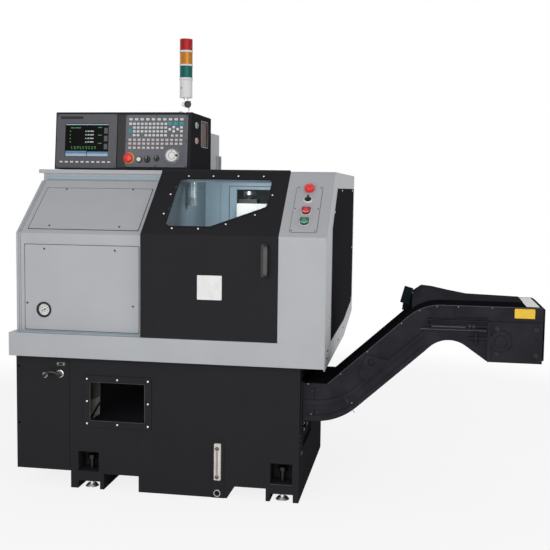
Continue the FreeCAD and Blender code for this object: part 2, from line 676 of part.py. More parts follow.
def pressure_gauge():
    """A dial in a cup, sunk through the cover: rim, cup wall and dial face."""
    radius = PRESSURE_GAUGE_RADIUS
    inner = radius - SHEET - SEAM
    profile = [V(0, PRESSURE_GAUGE_DEPTH, 0), V(inner, PRESSURE_GAUGE_DEPTH, 0), V(inner, 0, 0),
               V(radius, 0, 0), V(radius, -SHEET, 0), V(inner - SHEET, -SHEET, 0),
               V(inner - SHEET, SHEET * 2, 0), V(0, SHEET * 2, 0)]
    gauge = face_of(profile).revolve(V(0, 0, 0), Y_AXIS, 360)
    gauge.translate(V(PRESSURE_GAUGE_X, COVER_FRONT, PRESSURE_GAUGE_Z))
    return gauge


def roof():
    """The roof sheet with its front lip, the header that carries the door rail, and the cabinet's cut-out."""
    top = box(BELT_LEFT, SHEET_INSIDE, SLOPE_TOP_Y, SHELL_BACK, SHELL_TOP - SHEET, SHELL_TOP)
    notch = box(BELT_LEFT, REAR_CABINET_RIGHT + SHEET, REAR_CABINET_FRONT - SEAM, SHELL_BACK,
                SHELL_TOP - SHEET, SHELL_TOP)
    hinge_space = box(REAR_CABINET_RIGHT, HINGE_X + REAR_DOOR_THICKNESS, HINGE_Y - REAR_DOOR_THICKNESS, SHELL_BACK,
                      SHELL_TOP - SHEET, SHELL_TOP)
    lip = box(BELT_LEFT, COLUMN_LEFT, SLOPE_TOP_Y, SLOPE_TOP_Y + SHEET, SHELL_TOP - LIP_HEIGHT, SHELL_TOP)
    header = box(COVER_RIGHT, COLUMN_LEFT, SKIRT_Y, SKIRT_Y + SHEET, COVER_SLOPE_TOP, SHELL_TOP)
    return joined([top.cut(Part.makeCompound([notch, hinge_space])), lip, header])


def door_rails():
    """Two flat guide strips: on the belt's ledge and along the header under the roof."""
    left = DOOR_LEFT - DOOR_TRAVEL - RAIL_SPARE
    lower = box(left, COLUMN_LEFT - SEAM, RAIL_Y, RAIL_Y + RAIL_WIDTH, BELT_TOP, BELT_TOP + RAIL_HEIGHT)
    upper = box(left, COLUMN_LEFT - SEAM, SKIRT_Y - RAIL_HEIGHT, SKIRT_Y,
                COVER_SLOPE_TOP + RAIL_HEIGHT, COVER_SLOPE_TOP + 2 * RAIL_WIDTH)
    return Part.makeCompound([lower, upper])


def right_column():
    front = sheet_x(shell_front(), COLUMN_LEFT, SHEET_INSIDE, SHEET)
    jamb = sheet_x(shell_front(), COLUMN_LEFT, COLUMN_LEFT + SHEET, JAMB_DEPTH)
    roof_space = box(COLUMN_LEFT, SHEET_INSIDE, SLOPE_TOP_Y - SHEET, SHELL_BACK, SHELL_TOP - LIP_HEIGHT, SHELL_TOP)
    opening = box(SWITCH_X - SWITCH_PLATE_WIDTH / 2 + PANEL_CORNER, SWITCH_X + SWITCH_PLATE_WIDTH / 2 - PANEL_CORNER,
                  SWITCH_PLATE_START + PANEL_CORNER, SWITCH_PLATE_END - PANEL_CORNER, -BELT_FLANGE, 1)
    return joined([front, jamb]).cut(Part.makeCompound([roof_space, on_slope(opening)]))


def right_side_wall():
    outline = [(FRONT, SIDE_WALL_BOTTOM)] + shell_front()[1:] + [
        (SHELL_BACK, SHELL_TOP), (SHELL_BACK, SIDE_WALL_CHAMFER_Z), (SIDE_WALL_CHAMFER_Y, SIDE_WALL_BOTTOM)]
    return prism_x(outline, SHEET_INSIDE, SHELL_RIGHT)


def side_panel():
    outline = [(SIDE_PANEL_FRONT, SIDE_PANEL_BOTTOM), (SIDE_PANEL_FRONT, SIDE_PANEL_CREASE),
               (SIDE_PANEL_FRONT + (SIDE_PANEL_TOP - SIDE_PANEL_CREASE) * SLOPE_RUN / SLOPE_RISE, SIDE_PANEL_TOP),
               (SIDE_PANEL_BACK, SIDE_PANEL_TOP), (SIDE_PANEL_BACK, SIDE_PANEL_CHAMFER_Z),
               (SIDE_PANEL_CHAMFER_Y, SIDE_PANEL_BOTTOM)]
    return prism_x(outline, SHELL_RIGHT, SHELL_RIGHT + SIDE_PANEL_THICKNESS)


def front_y(z):
    """The Y of the slanted front at a height above the crease."""
    return FRONT + (z - CREASE) * SLOPE_RUN / SLOPE_RISE


def window_outline():
    """The window's corners on the slope, with its cut-off lower right corner."""
    low = up_slope(WINDOW_BOTTOM_Z)
    high = up_slope(WINDOW_TOP_Z)
    return [V(WINDOW_LEFT, low, 0), V(WINDOW_CUT_X, low, 0), V(WINDOW_RIGHT, up_slope(WINDOW_SIDE_Z), 0),
            V(WINDOW_RIGHT, high, 0), V(WINDOW_LEFT, high, 0)]


def door_panel():
    """A folded sheet door with returns at both sides, guide shoes and the window opening."""
    line = [(FRONT, DOOR_BOTTOM), (FRONT, CREASE), (front_y(DOOR_TOP), DOOR_TOP)]
    sheet = sheet_x(line, DOOR_LEFT, DOOR_RIGHT, SHEET)
    returns = [sheet_x(line, x, x + SHEET, DOOR_RETURN) for x in (DOOR_LEFT, DOOR_RIGHT - SHEET)]
    lip_space = box(DOOR_LEFT, DOOR_RIGHT, SLOPE_TOP_Y - 2, SKIRT_Y + BELT_FLANGE, SHELL_TOP - LIP_HEIGHT - SHEET,
                    SHELL_TOP)
    opening = face_of(window_outline()).extrude(V(0, 0, BELT_FLANGE))
    corners = [edge for edge in opening.Edges if abs(edge.tangentAt(edge.FirstParameter).z) > 0.99]
    opening = opening.makeFillet(WINDOW_CORNER, corners)
    opening.translate(V(0, 0, -BELT_FLANGE / 2))
    body = joined([sheet] + returns).cut(Part.makeCompound([lip_space, on_slope(opening)]))
    rail_top = BELT_TOP + RAIL_HEIGHT + SEAM
    shoe_low = COVER_SLOPE_TOP + RAIL_HEIGHT + 2
    shoe_high = shoe_low + RAIL_WIDTH
    rail_face = SKIRT_Y - RAIL_HEIGHT - SEAM
    for x in (DOOR_LEFT + SHOE_INSET, DOOR_RIGHT - SHOE_INSET):
        lower = box(x - 20, x + 20, FRONT + SHEET, RAIL_Y + RAIL_WIDTH, rail_top, rail_top + RAIL_WIDTH)
        upper = prism_x([(front_y(shoe_low) + SHEET, shoe_low), (rail_face, shoe_low),
                         (rail_face, shoe_high), (front_y(shoe_high) + SHEET, shoe_high)], x - 20, x + 20)
        body = body.fuse([lower, upper])
    return body.removeSplitter()


def door_pane():
    behind = -SHEET * math.sin(SLOPE_ANGLE)
    outline = face_of(window_outline()).makeOffset2D(PANE_MARGIN)
    pane = outline.extrude(V(0, 0, PANE_THICKNESS))
    pane.translate(V(0, 0, behind - PANE_THICKNESS))
    return on_slope(pane)


def door_handle():
    outer = box(HANDLE_X - HANDLE_WIDTH / 2, HANDLE_X + HANDLE_WIDTH / 2, FRONT - HANDLE_REACH, FRONT,
                HANDLE_BOTTOM, HANDLE_TOP)
    front_edges = [e for e in outer.Edges
                   if abs(e.tangentAt(e.FirstParameter).x) > 0.99 and e.CenterOfMass.y < FRONT - 1]
    outer = outer.makeFillet(HANDLE_WIDTH * 0.75, front_edges)
    gap = box(HANDLE_X - HANDLE_WIDTH / 2, HANDLE_X + HANDLE_WIDTH / 2, FRONT - HANDLE_REACH + 9, FRONT,
              HANDLE_BOTTOM + HANDLE_WIDTH, HANDLE_TOP - HANDLE_WIDTH)
    return outer.cut(gap)


def push_button(x, y, seat, cap_radius, stem_radius):
    """A flat button: its stem runs in the plate, its cap stands off by the travel."""
    under = seat + BUTTON_TRAVEL + SEAM
    stem = rod(V(x, y, -BELT_FLANGE / 3), Z_AXIS, stem_radius, BELT_FLANGE / 3 + under)
    cap = rod(V(x, y, under), Z_AXIS, cap_radius, BUTTON_TRAVEL + 1)
    return joined([stem, cap])


def mushroom(x, y, seat, cap_radius, stem_radius):
    """An emergency stop: a neck under a wide domed cap."""
    under = seat + BUTTON_TRAVEL + 4
    profile = [V(0, -BELT_FLANGE / 3, 0), V(stem_radius, -BELT_FLANGE / 3, 0), V(stem_radius, under, 0),
               V(cap_radius, under, 0), V(cap_radius, under + cap_radius * 0.4, 0),
               V(cap_radius * 0.7, under + cap_radius * 0.62, 0), V(0, under + cap_radius * 0.7, 0)]
    turned = face_of(profile).revolve(V(0, 0, 0), Y_AXIS, 360)
    turned.Placement = FreeCAD.Placement(V(x, y, 0), FreeCAD.Rotation(X_AXIS, 90))
    return turned


def selector(x, y, seat, radius, stem_radius):
    """A turning knob: a low drum with a raised finger grip across it."""
    stem = rod(V(x, y, -BELT_FLANGE / 3), Z_AXIS, stem_radius, BELT_FLANGE / 3 + seat + SEAM)
    drum = rod(V(x, y, seat + SEAM), Z_AXIS, radius, radius * 0.5)
    grip = box(x - radius * 0.25, x + radius * 0.25, y - radius * 0.9, y + radius * 0.9,
               seat + SEAM, seat + radius * 1.2)
    return joined([stem, drum, grip])


def bezel(x, y, seat, outer, inner, height):
    return tube(V(x, y, seat), Z_AXIS, outer, inner, height)


def stem_hole(x, y, stem_radius):
    return rod(V(x, y, -BELT_FLANGE), Z_AXIS, stem_radius + RUNNING_FIT, 2 * BELT_FLANGE)


def switch_plate():
    plate = rounded_plate(SWITCH_X - SWITCH_PLATE_WIDTH / 2, SWITCH_X + SWITCH_PLATE_WIDTH / 2,
                          SWITCH_PLATE_START, SWITCH_PLATE_END, 0, SWITCH_PLATE_THICKNESS, PANEL_CORNER)
    rings = [bezel(SWITCH_X, up, SWITCH_PLATE_THICKNESS, BEZEL_RADIUS, BUTTON_RADIUS + SEAM, BEZEL_HEIGHT)
             for up in (RED_UP, GREEN_UP)]
    holes = [stem_hole(SWITCH_X, up, STEM_RADIUS) for up in (STOP_UP, SELECTOR_UP, RED_UP, GREEN_UP)]
    return on_slope(joined([plate] + rings).cut(Part.makeCompound(holes)))


def column_stop():
    return on_slope(mushroom(SWITCH_X, STOP_UP, SWITCH_PLATE_THICKNESS, MUSHROOM_RADIUS, STEM_RADIUS))


def column_selector():
    return on_slope(selector(SWITCH_X, SELECTOR_UP, SWITCH_PLATE_THICKNESS, BEZEL_RADIUS, STEM_RADIUS))


def column_button(up):
    return on_slope(push_button(SWITCH_X, up, SWITCH_PLATE_THICKNESS, BUTTON_RADIUS, STEM_RADIUS))


def side_button_hole(z):
    return rod(V(CABINET_RIGHT - BELT_FLANGE / 2, SIDE_BUTTON_Y, z), X_AXIS, SMALL_STEM_RADIUS + RUNNING_FIT,
               BELT_FLANGE)


def control_cabinet():
    """A closed box with a leaning face, side bezels and a framed recess in its right side."""
    outline = [(CABINET_FRONT, CABINET_BOTTOM), (CABINET_FRONT + CABINET_LEAN, CABINET_BOTTOM + CABINET_FACE_HEIGHT),
               (CABINET_FRONT + CABINET_LEAN + SHEET, CABINET_TOP), (CABINET_BACK, CABINET_TOP),
               (CABINET_BACK, CABINET_BOTTOM)]
    body = prism_x(outline, CABINET_LEFT, CABINET_RIGHT)
    plinth = box(CABINET_LEFT + BELT_FLANGE, CABINET_RIGHT - BELT_FLANGE, CABINET_FRONT + BELT_FLANGE,
                 CABINET_BACK - BELT_FLANGE, SHELL_TOP, CABINET_BOTTOM)
    rings = [tube(V(CABINET_RIGHT, SIDE_BUTTON_Y, z), X_AXIS, SMALL_BEZEL_RADIUS, SMALL_BUTTON_RADIUS + SEAM,
                  BEZEL_HEIGHT) for z in (SIDE_GREEN_Z, SIDE_RED_Z)]
    y0, y1, z0, z1 = SIDE_RECESS
    recess = box(CABINET_RIGHT - SIDE_RECESS_DEPTH, CABINET_RIGHT, y0, y1, z0, z1)
    holes = [side_button_hole(z) for z in (SIDE_GREEN_Z, SIDE_RED_Z)]
    face_holes = [stem_hole(x, up, SMALL_STEM_RADIUS + 1)
                  for x, up in (CONTROL_STOP_PLACE, WHITE_BUTTON_PLACE, KNOB_PLACE, CONTROL_SELECTOR_PLACE,
                                HANDWHEEL_PLACE)]
    return joined([body, plinth] + rings).cut(Part.makeCompound([recess] + holes + [on_face(h) for h in face_holes]))


def screen_module():
    left, right, low, high = SCREEN_MODULE
    frame = rounded_plate(left, right, low, high, 0, MODULE_THICKNESS, SHEET)
    x0, x1, y0, y1 = SCREEN_OPENING
    frame = frame.cut(box(x0, x1, y0, y1, MODULE_THICKNESS - SCREEN_DEPTH, MODULE_THICKNESS))
    pitch = (SOFT_KEY_LAST - SOFT_KEY_FIRST) / (SOFT_KEY_COUNT - 1)
    keys = []
    for i in range(SOFT_KEY_COUNT):
        x = SOFT_KEY_FIRST + i * pitch
        keys.append(box(x - SOFT_KEY_WIDTH / 2, x + SOFT_KEY_WIDTH / 2, SOFT_KEY_UP - SOFT_KEY_HEIGHT / 2,
                        SOFT_KEY_UP + SOFT_KEY_HEIGHT / 2, MODULE_THICKNESS, MODULE_THICKNESS + KEY_HEIGHT))
    return on_face(Part.makeCompound([frame] + keys))


def key_row(up, first, last, count):
    pitch = (last - first) / count
    return [box(first + i * pitch, first + (i + 1) * pitch - KEY_GAP, up - KEY_DEPTH / 2, up + KEY_DEPTH / 2,
                MODULE_THICKNESS, MODULE_THICKNESS + KEY_HEIGHT) for i in range(count)]


def key_panel():
    """The operator's panel: a bezel with eight rows of keys and the row of controls under them."""
    left, right, low, high = KEY_MODULE
    plate = rounded_plate(left, right, low, high, 0, MODULE_THICKNESS, SHEET)
    ring = bezel(*WHITE_BUTTON_PLACE, MODULE_THICKNESS, SMALL_BEZEL_RADIUS, SMALL_BUTTON_RADIUS + SEAM, BEZEL_HEIGHT)
    holes = [stem_hole(x, up, SMALL_STEM_RADIUS)
             for x, up in (CONTROL_STOP_PLACE, WHITE_BUTTON_PLACE, KNOB_PLACE, CONTROL_SELECTOR_PLACE,
                           HANDWHEEL_PLACE)]
    keys = []
    for up, count in zip(KEY_ROW_HEIGHTS, KEY_ROW_COUNTS):
        keys += key_row(up, KEY_ROW_FIRST, KEY_ROW_LAST, count)
    keys += key_row(SHORT_ROW_UP, KEY_ROW_FIRST, SHORT_ROW_LAST, SHORT_ROW_COUNT)
    return on_face(Part.makeCompound([joined([plate, ring]).cut(Part.makeCompound(holes))] + keys))


def control_stop():
    return on_face(mushroom(*CONTROL_STOP_PLACE, MODULE_THICKNESS, MUSHROOM_RADIUS * 0.9, SMALL_STEM_RADIUS))


def white_button():
    return on_face(push_button(*WHITE_BUTTON_PLACE, MODULE_THICKNESS, SMALL_BUTTON_RADIUS, SMALL_STEM_RADIUS))


def control_knob():
    return on_face(selector(*KNOB_PLACE, MODULE_THICKNESS, SMALL_BEZEL_RADIUS, SMALL_STEM_RADIUS))


def control_selector():
    return on_face(selector(*CONTROL_SELECTOR_PLACE, MODULE_THICKNESS, SMALL_BUTTON_RADIUS, SMALL_STEM_RADIUS))


def handwheel():
    x, up = HANDWHEEL_PLACE
    seat = MODULE_THICKNESS + SEAM
    stem = rod(V(x, up, -BELT_FLANGE / 3), Z_AXIS, SMALL_STEM_RADIUS, BELT_FLANGE / 3 + seat)
    wheel = Part.makeCone(HANDWHEEL_RADIUS, HANDWHEEL_RADIUS - 3, HANDWHEEL_THICKNESS, V(x, up, seat))
    dish = rod(V(x, up, seat + HANDWHEEL_THICKNESS - 3), Z_AXIS, HANDWHEEL_RADIUS * 0.6, 3)
    grip = rod(V(x + HANDWHEEL_RADIUS * 0.75, up, seat + HANDWHEEL_THICKNESS), Z_AXIS, 4, 9)
    return on_face(joined([stem, wheel, grip]).cut(dish))


def side_button(z):
    under = CABINET_RIGHT + BUTTON_TRAVEL + SEAM
    stem = rod(V(CABINET_RIGHT - BELT_FLANGE / 3, SIDE_BUTTON_Y, z), X_AXIS, SMALL_STEM_RADIUS,
               under - CABINET_RIGHT + BELT_FLANGE / 3)
    cap = rod(V(under, SIDE_BUTTON_Y, z), X_AXIS, SMALL_BUTTON_RADIUS, BUTTON_TRAVEL + 1)
    return joined([stem, cap])


def tower_foot():
    """A round foot with two cheeks; the pivot pin crosses them."""
    foot = rod(V(TOWER_X, TOWER_Y, CABINET_TOP), Z_AXIS, TOWER_FOOT_RADIUS, TOWER_FOOT_HEIGHT)
    inner = TONGUE_THICKNESS / 2 + SEAM
    cheeks = []
    for side in (-1, 1):
        y0, y1 = sorted((TOWER_Y + side * inner, TOWER_Y + side * (inner + CHEEK_THICKNESS)))
        upright = box(TOWER_X - CHEEK_RADIUS, TOWER_X + CHEEK_RADIUS, y0, y1, CABINET_TOP, TOWER_PIVOT_Z)
        cheeks += [upright, rod(V(TOWER_X, y0, TOWER_PIVOT_Z), Y_AXIS, CHEEK_RADIUS, CHEEK_THICKNESS)]
    pin_start = TOWER_Y - inner - CHEEK_THICKNESS
    pin = rod(V(TOWER_X, pin_start, TOWER_PIVOT_Z), Y_AXIS, PIVOT_RADIUS, 2 * (inner + CHEEK_THICKNESS))
    return joined([foot] + cheeks + [pin])


def tower_body():
    """The tongue on the pivot with the neck over it, and the stack of body, rings and lenses that stands on them."""
    turned = [(0, TOWER_LEVELS[0])]
    for i, level in enumerate(TOWER_LEVELS[:-1]):
        radius = TOWER_RING_RADIUS if i % 2 else TOWER_RADIUS
        turned += [(radius, level), (radius, TOWER_LEVELS[i + 1])]
    turned += [(0, TOWER_LEVELS[-1])]
    stack = face_of([V(r, 0, z) for r, z in turned]).revolve(V(0, 0, 0), Z_AXIS, 360)
    stack.translate(V(TOWER_X, TOWER_Y, 0))
    half = TONGUE_THICKNESS / 2
    neck_bottom = TOWER_LEVELS[0] - TONGUE_THICKNESS
    neck = rod(V(TOWER_X, TOWER_Y, neck_bottom), Z_AXIS, TOWER_NECK_RADIUS, TONGUE_THICKNESS)
    tongue = box(TOWER_X - TOWER_NECK_RADIUS, TOWER_X + TOWER_NECK_RADIUS, TOWER_Y - half, TOWER_Y + half,
                 TOWER_PIVOT_Z, neck_bottom)
    eye = rod(V(TOWER_X, TOWER_Y - half, TOWER_PIVOT_Z), Y_AXIS, TOWER_NECK_RADIUS, TONGUE_THICKNESS)
    bore = rod(V(TOWER_X, TOWER_Y - half, TOWER_PIVOT_Z), Y_AXIS, PIVOT_RADIUS + RUNNING_FIT, TONGUE_THICKNESS)
    return Part.makeCompound([stack, joined([neck, tongue, eye]).cut(bore)])


def lock_knob():
    start = TOWER_Y - TONGUE_THICKNESS / 2 - CHEEK_THICKNESS - 2 * SEAM
    knob = rod(V(TOWER_X, start, TOWER_PIVOT_Z), -Y_AXIS, LOCK_KNOB_RADIUS, LOCK_KNOB_THICKNESS)
    lobes = []
    for i in range(6):
        angle = math.radians(60 * i)
        centre = V(TOWER_X + LOCK_KNOB_RADIUS * 1.15 * math.cos(angle), start,
                   TOWER_PIVOT_Z + LOCK_KNOB_RADIUS * 1.15 * math.sin(angle))
        lobes.append(rod(centre, -Y_AXIS, LOCK_KNOB_RADIUS * 0.35, LOCK_KNOB_THICKNESS))
    return knob.cut(Part.makeCompound(lobes))


def hinge_levels():
    return [REAR_CABINET_BOTTOM + 120.0, REAR_CABINET_TOP - 160.0]


def rear_cabinet():
    """A sheet cabinet open at the back, its mounting plate with three drives, and the fixed hinge halves."""
    shell = box(REAR_CABINET_LEFT, REAR_CABINET_RIGHT, REAR_CABINET_FRONT, REAR_CABINET_BACK,
                REAR_CABINET_BOTTOM, REAR_CABINET_TOP)
    inside = box(REAR_CABINET_LEFT + SHEET, REAR_CABINET_RIGHT - SHEET, REAR_CABINET_FRONT + SHEET,
                 REAR_CABINET_BACK, REAR_CABINET_BOTTOM + SHEET, REAR_CABINET_TOP - SHEET)
    plate = box(REAR_CABINET_LEFT + BELT_FLANGE, REAR_CABINET_RIGHT - BELT_FLANGE, REAR_CABINET_FRONT + SHEET,
                REAR_CABINET_FRONT + 3 * SHEET, REAR_CABINET_BOTTOM + BELT_FLANGE, REAR_CABINET_TOP - BELT_FLANGE)
    drive_low, drive_high = [REAR_CABINET_TOP - drop for drop in REAR_DRIVE_BELOW_TOP]
    first = REAR_CABINET_LEFT + REAR_DRIVE_WIDTH
    drives = [box(x, x + REAR_DRIVE_WIDTH, REAR_CABINET_FRONT + 3 * SHEET, REAR_CABINET_FRONT + REAR_DRIVE_DEPTH,
                  drive_low, drive_high) for x in (first, first + REAR_DRIVE_PITCH, first + 2 * REAR_DRIVE_PITCH)]
    hinges = []
    for level in hinge_levels():
        leaf = box(REAR_CABINET_RIGHT, REAR_CABINET_RIGHT + SHEET, REAR_CABINET_BACK - 40, REAR_CABINET_BACK,
                   level - 40, level + 40)
        hinges.append(leaf)
        hinges.append(rod(V(HINGE_X, HINGE_Y, level - 40), Z_AXIS, HINGE_RADIUS / 2, 80))
        for z in (level - 40, level + 20):
            arm = box(REAR_CABINET_RIGHT, HINGE_X, REAR_CABINET_BACK - 6, HINGE_Y, z, z + 20)
            hinges += [arm, rod(V(HINGE_X, HINGE_Y, z), Z_AXIS, HINGE_RADIUS, 20)]
    body = joined([shell.cut(inside)] + hinges)
    return Part.makeCompound([body, joined([plate] + drives)])


def cabinet_door():
    """The rear door with its two hinge barrels and a quarter-turn lock dish."""
    gap = 2 * SEAM
    slab = box(REAR_CABINET_LEFT, REAR_CABINET_RIGHT - gap, REAR_CABINET_BACK + gap, REAR_DOOR_BACK,
               REAR_CABINET_BOTTOM, REAR_CABINET_TOP)
    parts = [slab]
    bores = []
    for level in hinge_levels():
        parts.append(rod(V(HINGE_X, HINGE_Y, level - 20 + gap), Z_AXIS, HINGE_RADIUS, 40 - 2 * gap))
        parts.append(box(REAR_CABINET_RIGHT - gap, HINGE_X, HINGE_Y - 4, HINGE_Y + 4, level - 20 + gap,
                         level + 20 - gap))
        bores.append(rod(V(HINGE_X, HINGE_Y, level - 40), Z_AXIS, HINGE_RADIUS / 2 + RUNNING_FIT, 80))
    lock = rod(V(REAR_CABINET_LEFT + 50, REAR_DOOR_BACK, (REAR_CABINET_BOTTOM + REAR_CABINET_TOP) / 2), Y_AXIS,
               HINGE_RADIUS * 2, SHEET)
    return joined(parts + [lock]).cut(Part.makeCompound(bores))


def rear_wall():
    """The back sheet beside the cabinet, folded forward at its left edge."""
    left = REAR_CABINET_RIGHT + BELT_FLANGE
    back = box(left, SHEET_INSIDE, SHELL_BACK - SHEET, SHELL_BACK, SIDE_WALL_CHAMFER_Z, SHELL_TOP - SHEET)
    side = box(left, left + SHEET, REAR_CABINET_FRONT, SHELL_BACK, SIDE_WALL_CHAMFER_Z, SHELL_TOP - SHEET)
    floor = box(left, SHEET_INSIDE, BED_BACK, SHELL_BACK, SIDE_WALL_CHAMFER_Z, SIDE_WALL_CHAMFER_Z + SHEET)
    return joined([back, side, floor])


def chamber_back_wall():
    """The chamber's back sheet: a framed opening lets the slide's head through."""
    x0, x1, z0, z1 = WAY_OPENING
    wall = box(CHAMBER_LEFT, SHEET_INSIDE, CHAMBER_BACK, CHAMBER_BACK + SHEET, CHAMBER_FLOOR, SHELL_TOP - SHEET)
    frame = box(x0 - WAY_FRAME_WIDTH, x1, CHAMBER_BACK - WAY_FRAME_THICKNESS, CHAMBER_BACK, z0,
                z1 + WAY_FRAME_WIDTH)
    step = box(x0 - 2 * WAY_FRAME_WIDTH, x1, CHAMBER_BACK - WAY_FRAME_THICKNESS / 2, CHAMBER_BACK, z0,
               z1 + 1.6 * WAY_FRAME_WIDTH)
    opening = box(x0, x1, CHAMBER_BACK - WAY_FRAME_THICKNESS, CHAMBER_BACK + SHEET, z0, z1)
    return joined([wall, frame, step]).cut(opening)


def chamber_left_wall():
    wall = box(CHAMBER_LEFT - SHEET, CHAMBER_LEFT, SKIRT_Y + SHEET, CHAMBER_BACK + SHEET, CHAMBER_FLOOR,
               SHELL_TOP - SHEET)
    return wall.cut(rod(V(CHAMBER_LEFT - SHEET, SPINDLE_Y, SPINDLE_Z), X_AXIS, NOSE_RADIUS + SHEET, SHEET))


def work_lamp():
    """A tube lamp with a knurled lower collar, held off the wall by two brackets."""
    lens = rod(V(LAMP_X, LAMP_Y, LAMP_BOTTOM + LAMP_COLLAR_LENGTH), Z_AXIS, LAMP_RADIUS,
               LAMP_TOP - LAMP_BOTTOM - LAMP_COLLAR_LENGTH)
    collar = rod(V(LAMP_X, LAMP_Y, LAMP_BOTTOM), Z_AXIS, LAMP_RADIUS + 1.5, LAMP_COLLAR_LENGTH)
    brackets = [box(CHAMBER_LEFT, LAMP_X - LAMP_RADIUS / 2, LAMP_Y - LAMP_RADIUS / 2, LAMP_Y + LAMP_RADIUS / 2,
                    z, z + SHEET) for z in (LAMP_BOTTOM + SHEET, LAMP_TOP - 3 * SHEET)]
    return joined([lens, collar] + brackets)


def bed_casting():
    """The bed: a ribbed casting open underneath, with pads for the headstock and the rails."""
    outline = [(BED_FRONT, BASE_TOP), (BED_FRONT, BED_TOP - BELT_FLANGE), (BED_FRONT + SHEET * 5, BED_TOP),
               (BED_BACK - BELT_FLANGE, BED_TOP), (BED_BACK, BED_TOP - 2 * BELT_FLANGE), (BED_BACK, BASE_TOP)]
    body = prism_x(outline, BED_LEFT, BED_RIGHT)
    bays = 5
    rib = 2 * BASE_WALL
    bay = (BED_RIGHT - BED_LEFT - rib) / bays - rib
    hollows = [box(BED_LEFT + rib + i * (bay + rib), BED_LEFT + (i + 1) * (bay + rib), BED_FRONT + rib,
                   BED_BACK - rib, BASE_TOP, BED_TOP - 2 * BELT_FLANGE - rib / 2) for i in range(bays)]
    return body.cut(Part.makeCompound(hollows))


def headstock():
    """The spindle's housing: bored through, with the motor's stator space between two bearing lands."""
    middle = (HEADSTOCK_FRONT + HEADSTOCK_BACK) / 2
    shoulder = HEADSTOCK_TOP - BELT_FLANGE - SHEET * 5
    outline = [(HEADSTOCK_FRONT, BED_TOP), (HEADSTOCK_FRONT, shoulder), (middle - BELT_FLANGE * 1.6, HEADSTOCK_TOP),
               (middle + BELT_FLANGE * 1.6, HEADSTOCK_TOP), (HEADSTOCK_BACK, shoulder), (HEADSTOCK_BACK, BED_TOP)]
    body = prism_x(outline, HEADSTOCK_LEFT, HEADSTOCK_RIGHT)
    bore = rod(V(HEADSTOCK_LEFT, SPINDLE_Y, SPINDLE_Z), X_AXIS, SPINDLE_RADIUS + RUNNING_FIT,
               HEADSTOCK_RIGHT - HEADSTOCK_LEFT)
    land = BELT_FLANGE + BASE_WALL
    stator = rod(V(HEADSTOCK_LEFT + land, SPINDLE_Y, SPINDLE_Z), X_AXIS, SPINDLE_RADIUS + BASE_WALL,
                 HEADSTOCK_RIGHT - HEADSTOCK_LEFT - 2 * land)
    return body.cut(Part.makeCompound([bore, stator]))


def spindle():
    """The hollow spindle: encoder wheel, shaft, rotor, nose and the collet's tapered mouth."""
    land = BELT_FLANGE + BASE_WALL
    rotor_left = HEADSTOCK_LEFT + land + BASE_WALL
    rotor_right = HEADSTOCK_RIGHT - land - BASE_WALL
    rotor_radius = SPINDLE_RADIUS + BASE_WALL - 2
    nose_left = SPINDLE_NOSE - NOSE_LENGTH
    points = [(SPINDLE_LEFT, BAR_BORE), (SPINDLE_LEFT, ENCODER_WHEEL_RADIUS),
              (SPINDLE_LEFT + ENCODER_WHEEL_WIDTH, ENCODER_WHEEL_RADIUS),
              (SPINDLE_LEFT + ENCODER_WHEEL_WIDTH, SPINDLE_RADIUS), (rotor_left, SPINDLE_RADIUS),
              (rotor_left, rotor_radius), (rotor_right, rotor_radius), (rotor_right, SPINDLE_RADIUS),
              (nose_left, SPINDLE_RADIUS), (nose_left, NOSE_RADIUS), (SPINDLE_NOSE - NOSE_LENGTH / 2, NOSE_RADIUS),
              (SPINDLE_NOSE, NOSE_RADIUS * 0.6), (SPINDLE_NOSE, COLLET_BORE * 1.6),
              (SPINDLE_NOSE - NOSE_LENGTH / 4, COLLET_BORE), (nose_left - BELT_FLANGE, COLLET_BORE),
              (nose_left - BELT_FLANGE, BAR_BORE)]
    turned = face_of([V(x, r, 0) for x, r in points]).revolve(V(0, 0, 0), X_AXIS, 360)
    turned.translate(V(0, SPINDLE_Y, SPINDLE_Z))
    slots = []
    for i in range(3):
        slot = box(SPINDLE_NOSE - NOSE_LENGTH, SPINDLE_NOSE, -1, 1, 0, NOSE_RADIUS * 0.5)
        slot.rotate(V(0, 0, 0), X_AXIS, 120 * i)
        slot.translate(V(0, SPINDLE_Y, SPINDLE_Z))
        slots.append(slot)
    return turned.cut(Part.makeCompound(slots))


def z_rails():
    return Part.makeCompound([box(Z_RAIL_LEFT, Z_RAIL_RIGHT, y - Z_RAIL_WIDTH / 2, y + Z_RAIL_WIDTH / 2,
                                  BED_TOP, BED_TOP + Z_RAIL_HEIGHT) for y in (RAIL_FRONT_Y, RAIL_BACK_Y)])


